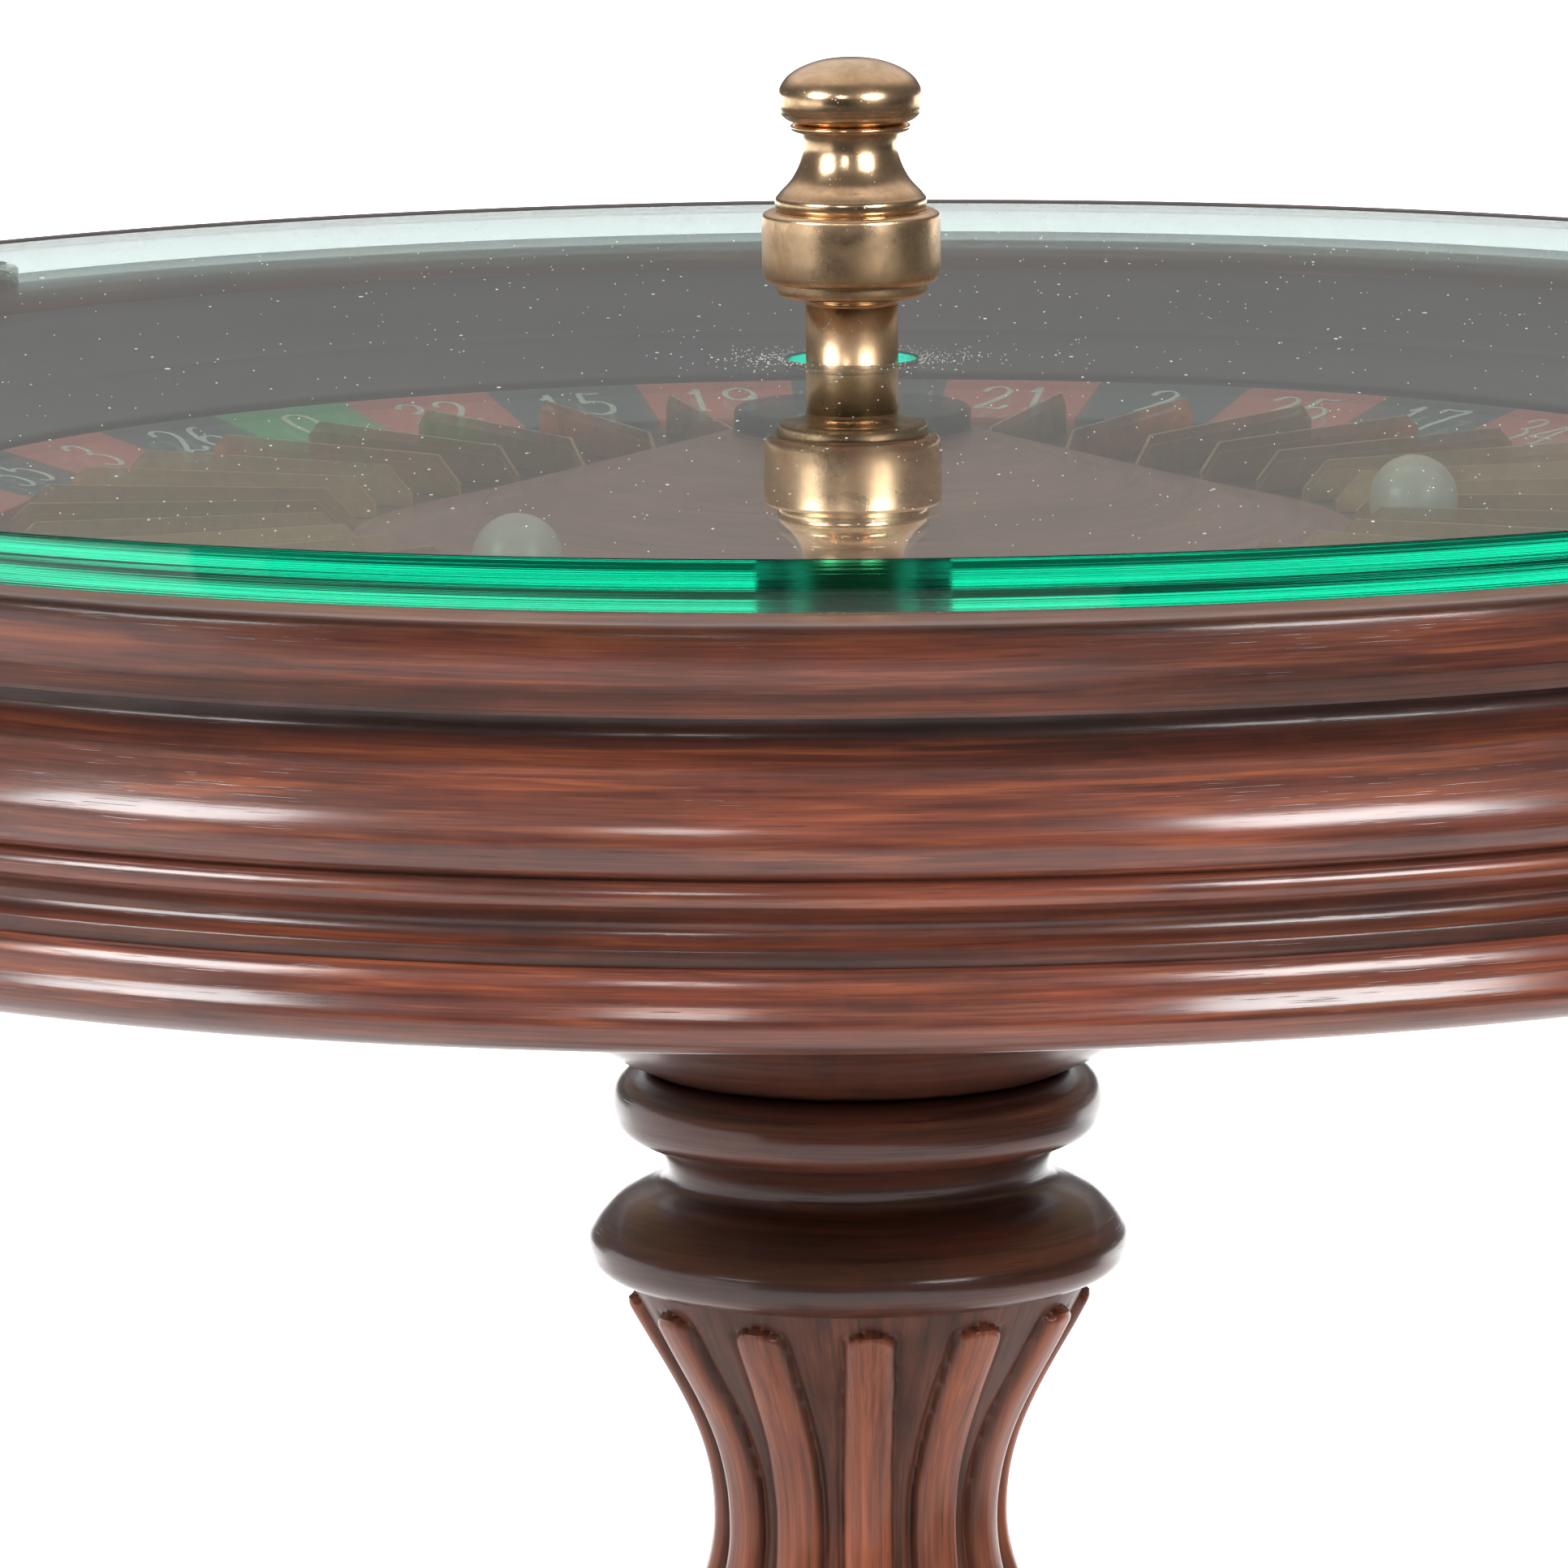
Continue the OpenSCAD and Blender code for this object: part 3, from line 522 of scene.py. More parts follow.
left_box = area_light("left_box", -56, 25, 2.6, (0.95, 0.8), 48)
right_box = area_light("right_box", 38, 23, 2.6, (0.95, 0.8), 50)
middle_lamp = area_light("middle_lamp", -14, 24, 2.6, (0.34, 0.34), 6)
area_light("back_box", 180, 50, 2.6, (2.2, 2.2), 60, in_gloss=False)
area_light("top_box", 0, 76, 2.4, (1.8, 1.8), 45, in_gloss=False)

# A dim room under a pale ceiling that comes down behind the table
TILT = radians(30)
sky = Nodes("studio", sky=True)
scene.world = sky.mat
way_up = sky.node("VectorMath", {0: sky.node("TexCoord").outputs["Generated"],
                                 1: (0, sin(TILT), cos(TILT))}, operation="DOT_PRODUCT")
shade = sky.node("ValToRGB", {0: way_up.outputs["Value"]})
stops = shade.color_ramp.elements
stops[0].color = (0.13, 0.13, 0.13, 1)
stops[1].color = (0.85, 0.85, 0.87, 1)
for at, grey in ((0.56, 0.14), (0.62, 0.21), (0.78, 0.82)):
    stops.new(at).color = (grey * 1.03, grey * 0.97, grey * 0.96, 1)
backdrop = sky.node("Background", {"Color": shade.outputs[0], "Strength": 1.0})
sky.tree.links.new(backdrop.outputs[0], sky.out.inputs["Surface"])

FLOOR = 30.0
floor_mesh = new_mesh("floor", [(-FLOOR, -FLOOR, 0), (FLOOR, -FLOOR, 0), (FLOOR, FLOOR, 0),
                                (-FLOOR, FLOOR, 0)], [(0, 1, 2, 3)])
floor = bpy.data.objects.new("floor", floor_mesh)
scene.collection.objects.link(floor)
# The floor glows: faintly by the table and brightly where it runs away behind it, as a backdrop
fn = Nodes("pale_floor")
split = fn.node("SeparateXYZ", {0: fn.position()})
away = fn.node("MapRange", {"Value": split.outputs["Y"], "From Min": 0.9, "From Max": 1.95,
                            "To Min": 0.12, "To Max": 2.4})
floor_shader = fn.shader(Base_Color=(0.72, 0.72, 0.72), Roughness=0.7, Emission_Color=(1, 1, 1))
fn.feed(floor_shader.inputs["Emission Strength"], away.outputs[0])
floor_mesh.materials.append(fn.mat)


def unseen_card(name, corners, material):
    """A card that only the polished surfaces see, with four corners to a face."""
    mesh = new_mesh(name, corners, [tuple(range(k, k + 4)) for k in range(0, len(corners), 4)])
    card = bpy.data.objects.new(name, mesh)
    scene.collection.objects.link(card)
    mesh.materials.append(material)
    card.visible_camera = card.visible_diffuse = card.visible_shadow = card.visible_transmission = False


# Black behind the camera and at the right, and at the left a pale card that glows a little, a light that
# only reflections see
unseen_card("black_card", [(-4, -4.2, 0), (4, -4.2, 0), (4, -4.2, 1.9), (-4, -4.2, 1.9),
                           (0.55, -1.7, 0.1), (1.2, 0.8, 0.1), (1.2, 0.8, 0.82), (0.55, -1.7, 0.82)],
            felt("black_paper", (0.01, 0.01, 0.01)))
paper = Nodes("pale_paper")
paper.shader(Base_Color=(0.8, 0.8, 0.8), Roughness=0.8, Emission_Color=(1, 1, 1), Emission_Strength=0.45)
unseen_card("pale_card", [(-1.35, -1.3, 0.15), (-1.0, 0.9, 0.15), (-1.0, 0.9, 0.82), (-1.35, -1.3, 0.82)],
            paper.mat)

scene.view_settings.view_transform = "Standard"
scene.view_settings.look = "None"
scene.cycles.caustics_reflective = False
for bounces, most in (("max_bounces", 24), ("transmission_bounces", 24), ("glossy_bounces", 8),
                      ("diffuse_bounces", 4), ("transparent_max_bounces", 16)):
    setattr(scene.cycles, bounces, most)

# ---- glass

GLASS_MM, HOLE_MM = GLASS_R / MM, HOLE_R / MM
g0, g1 = GLASS_UNDER / MM, GLASS_TOP / MM
BEVEL = 0.3
glass_outline = ([(HOLE_MM, g0 + 0.5), (HOLE_MM + 0.5, g0), (GLASS_MM - BEVEL, g0)]
                 + arc(GLASS_MM - BEVEL, g0 + BEVEL, BEVEL, -70, -5, 4)
                 + arc(GLASS_MM - BEVEL, g1 - BEVEL, BEVEL, 5, 70, 4)
                 + [(GLASS_MM - BEVEL, g1), (HOLE_MM + 0.5, g1), (HOLE_MM, g1 - 0.5)])
glass = turned("glass_sheet", glass_outline, (MAT_GLASS, "table", "glass"), "glass_top", 720, glaze=False,
               smooth=False)
glass_mesh = glass.data
# How far each face is ground: the hole's wall fully, the polished outer edge hardly
ground = []
for polygon in glass_mesh.polygons:
    upright = abs(polygon.normal.z) < 0.99
    polygon.use_smooth = upright
    at_hole = polygon.center.xy.length < HOLE_R + 0.004
    ground.append((1.0 if at_hole else 0.012) if upright else 0.0)
set_floats(glass_mesh, "ground", ground, "FACE")

# Dust on the glass: small flat flakes, thicker round the hole
random.seed(12)
FLAKES, SMEAR = 1300, 420
flake_verts, flake_faces = [], []
for flake in range(FLAKES + SMEAR):
    if flake < FLAKES:
        radius = (GLASS_R - 0.01) * sqrt(random.uniform(0.01, 1))
        where = random.uniform(0, TAU)
        size = random.uniform(0.09, 0.23) * MM * (1.9 if random.random() < 0.06 else 1.0)
    else:
        radius = HOLE_R + 0.001 + random.expovariate(1 / 0.009)
        where = random.gauss(0 if random.random() < 0.5 else pi, 0.7)
        size = random.uniform(0.08, 0.22) * MM
    at = Vector((radius * cos(where), radius * sin(where), GLASS_TOP))
    turn, sides, flat = random.uniform(0, TAU), random.choice((4, 5, 6)), random.uniform(1, 2.4)
    start = len(flake_verts)
    for level_z, spread in ((0.005 * MM, 1.0), (0.14 * MM, 0.6)):
        for k in range(sides):
            a = TAU * k / sides
            x, y = size * spread * flat * cos(a), size * spread * sin(a)
            flake_verts.append((at.x + x * cos(turn) - y * sin(turn),
                                at.y + x * sin(turn) + y * cos(turn), at.z + level_z))
    for k in range(sides):
        n1 = (k + 1) % sides
        flake_faces.append((start + k, start + n1, start + sides + n1, start + sides + k))
    flake_faces.append(tuple(start + sides + k for k in range(sides)))
    flake_faces.append(tuple(start + k for k in range(sides))[::-1])
dust_mesh = new_mesh("glass_dust", flake_verts, flake_faces)
link("glass_dust", dust_mesh, MAT_DUST, "table", "glass", smooth=False)

# The glass shows no picture of the three front lamps, seen from any side
unlit = bpy.data.collections.new("no_boxes")
unlit.objects.link(glass)
unlit.collection_objects[0].light_linking.link_state = "EXCLUDE"
for lamp in (left_box, right_box, middle_lamp):
    lamp.light_linking.receiver_collection = unlit

# ---- drum

# Heights in these profiles are from the rim's upper face
rim = RIM_TOP / MM
fascia_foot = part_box("rim_ring")[0].z / MM
RIM_IN = 312.2
rim_face = curve_through(lifted(rim, [
    (RIM_IN, -6.4), (314.5, -3.4), (318.5, -0.8), (322.5, 0, 1), (339.6, 0), (341.2, -0.5), (342, -1.9),
    (342.5, -5), (342.5, -9), (342, -12.6), (341.8, -15.2, 1), (343.9, -17.2), (345.9, -19.1, 1),
    (345.5, -20.1, 1)]), 4)
rim_outline = [(RIM_IN, fascia_foot), *rim_face, (341.0, fascia_foot)]
# Darker bands on the rim, dark glaze together with painted shade: the upper edge, the fascia, the flare
# and the underside of the lip
rim_stain = ((rim - 2.0, rim - 0.1, 0.3), (rim - 15.6, rim - 2.0, 0.2), (rim - 19.2, rim - 15.6, 0.6),
             (rim - 21, rim - 19.1, 0.85))
turned("rim_wood", rim_outline, DRUM, "rim_ring", 512, 0.16, 50, 1.0, stain=rim_stain)

apron_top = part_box("apron_ring")[1].z / MM
apron_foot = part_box("apron_ring")[0].z / MM
apron_face = curve_through(lifted(rim, [
    (336.6, -20.2), (336.2, -23), (336.6, -25.6), (338.2, -27.4), (341, -29.8), (344, -32.8),
    (346.6, -36.2), (348.9, -39.8), (350.6, -42.8), (351.6, -45.4), (352, -48), (351.6, -50.6),
    (350.2, -53.2), (348.4, -55.2), (347, -56.2, 1), (348.2, -56.8), (349.3, -58.2), (349.6, -60),
    (348.8, -61.8), (346.6, -63.2), (344.2, -64.2), (342.2, -65.6), (341.2, -67.4), (341.4, -69.2),
    (342.6, -70.8), (344.6, -71.9, 1), (344.9, -72.4), (345, -74.4), (344.6, -76.1, 1)]), 4)
bank_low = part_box("bowl_bank")[0].z / MM
apron_outline = [(296, apron_foot), (296, bank_low), (RIM_IN, bank_low), (RIM_IN, apron_top), *apron_face]
# Darker bands on the apron, dark glaze together with painted shade: the groove under the rim's lip fading
# onto the ovolo, the fillet over the bead, the cove and the fillet over the base moulding
apron_stain = ((rim - 26, rim - 20, 0.95), (rim - 28.5, rim - 26, 0.65), (rim - 32.5, rim - 28.5, 0.3),
               (rim - 56.6, rim - 55.4, 0.6), (rim - 71.6, rim - 63.6, 0.45),
               (rim - 76.5, rim - 72, 0.85))
turned("apron_wood", apron_outline, DRUM, "apron_ring", 512, 0.28, 60, 2.0, joints=5, stain=apron_stain)

foot = DRUM_FOOT / MM
board_low, board_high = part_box("drum_board")
torus_face = curve_through(lifted(rim, [
    (344.8, -76.2), (346.2, -76.8), (347.2, -78), (348, -80.2), (348.2, -81.8), (348.3, -83.4),
    (348.9, -85.4), (349.6, -87.6), (349.5, -89.9), (348, -92.2), (345.2, -94.4), (342, -95.8),
    (339, -96.2, 1)]), 4)
torus_outline = [(308, foot), (308, board_low.z / MM), (316.3, board_low.z / MM),
                 (316.3, board_high.z / MM), *torus_face]
turned("base_wood", torus_outline, DRUM, "base_moulding", 512, 0.22, 55, 3.0)

bank_face = curve_through(lifted(rim, [
    (311.9, -6.7), (306, -9), (296, -12.9), (287, -16.5), (280, -19.2), (278, -19.8), (275.5, -21),
    (265, -24.6), (256, -27.6), (253.4, -28.5), (252.6, -29.4)]), 3)
bank_outline = [(252.6, bank_low), (311.9, bank_low), *bank_face]
turned("bank_wood", bank_outline, (MAT_BANK, "table", "dark_mahogany"), "bowl_bank", 384, 0.1, 70, 4.0,
       joints=5)

# ---- number ring

ring_in, ring_out = 219.5, 249.5
ring_low, ring_high = POCKET_Z / MM + 1.9, POCKET_Z / MM + 8.1
MAT_RED = paint("ring_red", (0.60, 0.165, 0.125), (0.60, 0.42, 0.36))
MAT_BLACK = paint("ring_black", (0.115, 0.10, 0.095), (0.34, 0.32, 0.30))
MAT_GREEN = paint("ring_green", (0.13, 0.32, 0.14), (0.42, 0.48, 0.38))
MAT_CREAM = paint("numeral_cream", (0.74, 0.70, 0.58), (0.45, 0.42, 0.35))
ORDER = [
    21, 2, 25, 17, 34, 6, 27, 13, 36, 11, 30, 8, 23, 10, 5, 24, 16, 33, 1, 20, 14, 31, 9, 22, 18, 29, 7,
    28, 12, 35, 3, 26, 0, 32, 15, 19, 4]
REDS = {1, 3, 5, 7, 9, 12, 14, 16, 18, 19, 21, 23, 25, 27, 30, 32, 34, 36}


def ring_z(r):
    """Height of the ring's sloping face, in mm."""
    return ring_low + (r - ring_in) / (ring_out - ring_in) * (ring_high - ring_low)


def turn_about(azimuth, r, z):
    """A point in metres, azimuth from +Y towards +X in radians, r and z in mm."""
    return Vector((r * sin(azimuth), r * cos(azimuth), z)) * MM


STEPS = 12
LIP = 0.4
section = [(ring_in, DISC_TOP / MM), (ring_in, ring_low - 0.3), (ring_in + LIP, ring_z(ring_in + LIP)),
           (ring_out - LIP, ring_z(ring_out - LIP)), (ring_out, ring_high - LIP),
           (ring_out, DISC_TOP / MM)]
ring_verts, ring_faces, ring_slots = [], [], []
for k in range(POCKETS):
    for i in range(STEPS):
        azimuth = FIRST_DIVIDER + (k + i / STEPS) * TAU / POCKETS
        ring_verts += [tuple(turn_about(azimuth, r, z)) for r, z in section]
per = len(section)
total = POCKETS * STEPS
for c in range(total):
    number = ORDER[c // STEPS]
    following = (c + 1) % total
    for j in range(per):
        k = (j + 1) % per
        ring_faces.append((c * per + j, following * per + j, following * per + k, c * per + k))
        ring_slots.append(2 if number == 0 else (0 if number in REDS else 1))
ring_mesh = new_mesh("number_segments", ring_verts, ring_faces)
link("number_segments", ring_mesh, MAT_RED, "wheel", "numbers", ("number_ring",), smooth=False)
ring_mesh.materials.append(MAT_BLACK)
ring_mesh.materials.append(MAT_GREEN)
ring_mesh.polygons.foreach_set("material_index", ring_slots)

# Strokes of the digits in a box 100 wide and 160 high: lines that are thick where they turn down
DIGITS = {
    "0": [[(50, 160), (20, 150), (5, 115), (3, 80), (6, 42), (22, 10), (50, 0), (78, 10), (94, 42),
         (97, 80), (95, 115), (80, 150), (50, 160)]],
    "1": [[(22, 128), (38, 138), (50, 160), (50, 110), (50, 50), (50, 0)], [(25, 0), (75, 0)]],
    "2": [[(12, 125), (18, 148), (42, 160), (70, 155), (87, 132), (82, 102), (60, 68), (32, 34), (5, 4),
         (30, 8), (60, 0), (85, 3), (97, 24)]],
    "3": [[(12, 132), (28, 154), (52, 160), (78, 148), (82, 120), (64, 96), (40, 86)], [(40, 86),
         (72, 82), (93, 58), (88, 24), (60, 0), (30, 2), (8, 20)]],
    "4": [[(70, 0), (70, 80), (70, 160), (36, 102), (4, 46), (50, 46), (100, 46)], [(50, 0), (90, 0)]],
    "5": [[(88, 160), (56, 156), (26, 160), (20, 120), (16, 90), (40, 100), (68, 96), (92, 70), (92, 38),
         (70, 8), (40, 0), (10, 14)]],
    "6": [[(84, 154), (50, 146), (22, 110), (6, 66), (10, 26), (34, 2), (62, 2), (90, 26), (90, 62),
         (66, 86), (36, 84), (10, 60)]],
    "7": [[(4, 134), (10, 156), (50, 154), (97, 160), (70, 108), (48, 56), (38, 0)]],
    "8": [[(52, 86), (24, 104), (18, 134), (36, 158), (64, 158), (82, 136), (76, 106), (52, 86),
         (20, 68), (6, 36), (24, 4), (50, 0), (80, 8), (94, 38), (80, 68), (52, 86)]],
    "9": [[(16, 6), (50, 14), (78, 50), (94, 94), (90, 134), (66, 158), (38, 158), (10, 134), (10, 98),
         (34, 74), (64, 76), (90, 100)]],
}
numeral_verts, numeral_faces = [], []
DIGIT_H, DIGIT_W, DIGIT_GAP = 17.0, 8.6, 2.6
DIGIT_FOOT = 226.0
# Across a stroke of paint: which side of its middle line, and the height above the ring
PAINT = ((-1, 0.05), (-1, 0.16), (1, 0.16), (1, 0.05))
for k, number in enumerate(ORDER):
    text = str(number)
    centre = FIRST_DIVIDER + (k + 0.5) * TAU / POCKETS
    width = len(text) * DIGIT_W + (len(text) - 1) * DIGIT_GAP
    for place, digit in enumerate(text):
        left = -width / 2 + place * (DIGIT_W + DIGIT_GAP)
        for stroke in DIGITS[digit]:
            line = np.array(stroke) / 100
            if len(stroke) > 2:
                line = curve_through(line, 5)
            xy = np.stack([left + line[:, 0] * DIGIT_W, DIGIT_FOOT + line[:, 1] / 1.6 * DIGIT_H], 1)
            way = np.gradient(xy, axis=0)
            way /= np.maximum(norm(way, axis=1), 1e-9)[:, None]
            thick = 0.36 + 0.5 * np.abs(way @ np.array([0.35, 0.94])) ** 1.5
            side = np.stack([-way[:, 1], way[:, 0]], 1) * thick[:, None]
            base = len(numeral_verts)
            for q in range(len(xy)):
                for flank, lift in PAINT:
                    x, y = xy[q] + side[q] * flank
                    point = turn_about(centre + x / y, y, ring_z(y))
                    numeral_verts.append(tuple(point + Vector((0, 0, lift * MM))))
            for q in range(len(xy) - 1):
                for c in range(3):
                    a = base + q * 4 + c
                    numeral_faces.append((a, a + 1, a + 5, a + 4))
            end = base + (len(xy) - 1) * 4
            numeral_faces.append((base, base + 1, base + 2, base + 3))
            numeral_faces.append((end + 3, end + 2, end + 1, end))
numeral_mesh = new_mesh("numerals", numeral_verts, numeral_faces)
link("numerals", numeral_mesh, MAT_CREAM, "wheel", "numbers", smooth=False)

# ---- wheel

pocket = POCKET_Z / MM
disc_top = DISC_TOP / MM
floor_outline = [(126.2, disc_top), (219.4, disc_top), (219.4, pocket), (126.2, pocket)]
turned("pocket_base", floor_outline, (MAT_POCKET, "wheel", "pocket"), "pocket_floor", glaze=False,
       joints=12, smooth=False)

flange_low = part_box("spindle_flange")[0].z / MM
cone_face = curve_through([
    (126.0, pocket + 0.2), (125.6, pocket + 0.8, 1), (100, pocket + 7.2), (60, pocket + 18.0),
    (29.7, flange_low - 0.9, 1)], 6)
cone_outline = [(AXLE_BORE, disc_top), (126.0, disc_top), *cone_face, (29.7, flange_low),
                (AXLE_BORE, flange_low)]
turned("cone_wood", cone_outline, (MAT_CONE, "wheel", "cone"), "centre_cone", 256, 0.08, 60, 6.0)

# Brass plates between the pockets, with rounded edges and a slight bend of their own
random.seed(37)
plate_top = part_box("pocket_dividers")[1].z / MM
plate_verts, plate_faces = [], []
PLATE = [(126.5, pocket), (126.5, plate_top - 7), (133.5, plate_top), (205.0, plate_top),
         (209.5, plate_top - 4), (209.5, pocket)]
EDGE = 0.18
corners = []
for i, p in enumerate(PLATE):
    here, before, after = np.array(p), np.array(PLATE[i - 1]), np.array(PLATE[(i + 1) % len(PLATE)])
    inward = (before - here) / norm(before - here) + (after - here) / norm(after - here)
    corners.append((here, inward / norm(inward)))
per = len(PLATE)
for k in range(POCKETS):
    azimuth = FIRST_DIVIDER + k * TAU / POCKETS
    lean = random.uniform(-0.012, 0.012)
    base = len(plate_verts)
    for offset, inset in ((-0.5, EDGE), (-0.5 + EDGE, 0), (0.5 - EDGE, 0), (0.5, EDGE)):
        for here, inward in corners:
            r, z = here + inward * inset
            off = offset + lean * (z - pocket)
            x = r * sin(azimuth) + off * cos(azimuth)
            y = r * cos(azimuth) - off * sin(azimuth)
            plate_verts.append((x * MM, y * MM, z * MM))
    for a in range(3):
        for i in range(per):
            p0, p1 = base + a * per + i, base + a * per + (i + 1) % per
            plate_faces.append((p0, p1, p1 + per, p0 + per))
    plate_faces.append(tuple(base + i for i in range(per))[::-1])
    plate_faces.append(tuple(base + 3 * per + i for i in range(per)))
plate_mesh = new_mesh("divider_plates", plate_verts, plate_faces)
link("divider_plates", plate_mesh, MAT_PLATE, "wheel", "brass", ("pocket_dividers",), smooth=False)

# ---- spindle and finial

g = GLASS_TOP / MM
ft = FLANGE_TOP / MM
flange_outline = [(AXLE_BORE, flange_low), (29.0, flange_low), (29.5, flange_low + 0.5),
                  *arc(28.3, ft - 1.2, 1.2, 0, 90, 5), (16.5, ft), (AXLE_BORE, ft)]
turned("flange_bronze", flange_outline, (MAT_BRONZE, "wheel", "bronze"), "spindle_flange", 192,
       glaze=False)

stem_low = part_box("spindle")[0].z / MM
stem_outline = [(3.6, stem_low), (5.95, stem_low), (5.95, ft), (11.5, ft), (11.5, g + 13.5),
                (3.6, g + 13.5)]
stem = turned("stem_brass", stem_outline, SATIN_BRASS, "spindle", 192, 0.02, 20, 7.0, False, glaze=False)
for polygon in stem.data.polygons:
    polygon.use_smooth = abs(polygon.normal.z) < 0.5

# Heights of the finial are from the glass
collar_face = curve_through(lifted(g, [
    (FINIAL_BORE, 13.5, 1), (11.5, 13.5, 1), (11.9, 14.3), (13.4, 15.1), (16.2, 15.5, 1), (17.9, 15.7),
    (18.7, 16.6), (18.9, 18.4), (18.9, 19.3, 1), (20.6, 19.2), (21.7, 20.2), (22.1, 22.3), (22.2, 28.5),
    (22.1, 34.6), (21.9, 35.9), (21, 36.6), (19.4, 36.9, 1), (FINIAL_BORE, 36.9, 1)]), 5)
turned("collar_brass", collar_face, SATIN_BRASS, "finial_collar", 192, 0.03, 14, 8.0, glaze=False)
vase_face = curve_through(lifted(g, [
    (FINIAL_BORE, 37.0, 1), (18.4, 37, 1), (18.8, 38), (18.8, 39.8), (18.2, 40.7), (17.2, 41.9),
    (16, 43.1), (14.9, 44.4), (13.9, 46), (13, 47.9), (12.3, 50.2), (11.9, 52.4), (11.9, 54.6),
    (12.1, 56.2, 1), (13.7, 56.5), (14.8, 57.1), (14.9, 58), (14, 58.5, 1), (FINIAL_BORE, 58.5, 1)]), 5)
turned("vase_brass", vase_face, SPUN_BRASS, "finial_vase", 192, 0.03, 14, 9.0, glaze=False)
knob_face = curve_through(lifted(g, [
    (FINIAL_BORE, 58.6, 1), (13.2, 58.6, 1), (14.4, 58.9), (16.2, 59.8), (17.3, 61), (17.6, 62.2),
    (17.8, 63.2), (17.9, 65.2), (17.7, 66.8), (17, 68.4), (15.6, 70.2), (13.4, 71.8), (10.6, 73.1),
    (7.4, 74.1), (3.8, 74.65), (0, 74.8, 1), (0, 66, 1), (FINIAL_BORE, 66, 1)]), 5)
turned("knob_brass", knob_face, SPUN_BRASS, "finial_knob", 192, 0.05, 12, 10.0, glaze=False)

# ---- balls

for name in ("ball_1", "ball_2"):
    low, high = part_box(name)
    middle, size = (low + high) / 2, (high.z - low.z) / 2
    rows, cols = 48, 96
    points, quads = [], []
    for i in range(rows + 1):
        polar = pi * i / rows
        for j in range(cols):
            way = Vector((sin(polar) * cos(TAU * j / cols), sin(polar) * sin(TAU * j / cols),
                          cos(polar)))
            dent = 1 - 0.004 * max(0, noise.noise(way * 6 + middle * 50) - 0.35)
            points.append(tuple(middle + way * size * dent))
    for i in range(rows):
        for j in range(cols):
            k = (j + 1) % cols
            quads.append((i * cols + j, (i + 1) * cols + j, (i + 1) * cols + k, i * cols + k))
    ball_mesh = new_mesh(name + "_ivory", points, quads)
    body = "first_ball" if name == "ball_1" else "second_ball"
    link(name + "_ivory", ball_mesh, MAT_BALL, body, "bone", (name,))

# ---- standoffs

standoff_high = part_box("glass_standoffs")[1]
puck_top = standoff_high.z / MM
PUCK_R, PUCK_SOFT, SOCKET_R = 8.0, 1.2, 3.6
stand_ring = (standoff_high.x - PUCK_R * MM + 1e-9) * sqrt(2) / MM
puck = [(SCREW_BORE, rim + 0.02), (PUCK_R, rim + 0.02), (PUCK_R, puck_top - 1.3),
        *arc(PUCK_R - PUCK_SOFT, puck_top - PUCK_SOFT, PUCK_SOFT, 0, 90, 6),
        (SOCKET_R, puck_top), (SOCKET_R, puck_top - 2), (SCREW_BORE, puck_top - 2)]
for i in range(4):
    puck_mesh = lathe(f"standoff_{i + 1}_brass", puck, 96, glaze=False)
    angle = pi / 4 + i * pi / 2
    puck_mesh.transform(Matrix.Translation((stand_ring * MM * cos(angle),
                                            stand_ring * MM * sin(angle), 0)))
    link(f"standoff_{i + 1}_brass", puck_mesh, MAT_BRASS, "table", "brass",
         ("glass_standoffs",) if i == 0 else (), smooth=False)
    for polygon in puck_mesh.polygons:
        polygon.use_smooth = abs(polygon.normal.z) < 0.95

# ---- pedestal

cap_top = CAPITAL_HIGH.z / MM
cap_low = CAPITAL_LOW.z / MM
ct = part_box("drum_cleat")[1].z / MM
block_face = curve_through([*lifted(cap_top, [
    (51.6, 0.05, 1), (53.4, 0.7), (57.5, 2.6), (66, 6.6), (80, 15), (96, 28), (109, 42), (116, 52),
    (119.6, 60)]), (120, ct - 4), (120, ct, 1)], 5)
block_outline = [(ROD_BORE, cap_top + 0.05), *block_face, (ROD_BORE, ct)]
turned("block_wood", block_outline, TURNED, "drum_cleat", 256, 0.2, 40, 11.0)

JOINT_LIFT = 3.8
joint_z = cap_low + JOINT_LIFT
capital_face = curve_through(lifted(joint_z, [
    (ROD_BORE, 0, 1), (60.2, 0, 1), (62.6, 0.9), (65.6, 2.6), (67.4, 4.8), (68.2, 7.6), (67.9, 10.2),
    (66.6, 12.6), (64.2, 15.8), (60.6, 19.2), (56.4, 21.4), (52.4, 22.8), (49.8, 24.2), (48.6, 26.2),
    (48.8, 28.8), (50, 31.8), (52.2, 34.2), (55.2, 35.4), (57.2, 35.9, 1), (59.2, 37.2), (61, 39.6),
    (61.8, 42.8), (61.6, 45.8), (60.4, 48.8), (58, 51.2), (54.6, 52.5), (51.4, 52.65, 1),
    (ROD_BORE, 52.65, 1)]), 5)
turned("capital_wood", capital_face, TURNED, "column_capital", 256, 0.25, 35, 12.0)

# The reeded shaft: a turned body with twelve rounded reeds on it
REEDS = 12
FIRST_REED = radians(2.9)
REED_W, REED_DEPTH = 13.8, 3.6
GRAIN_R = 50.0
shaft_top, shaft_low = SHAFT_HIGH.z / MM + JOINT_LIFT, SHAFT_LOW.z / MM
WAIST_Z, VASE_Z = 469.0, 379.0
WAIST_R, VASE_R, FOOT_R = 37.1, 73.0, 40.0


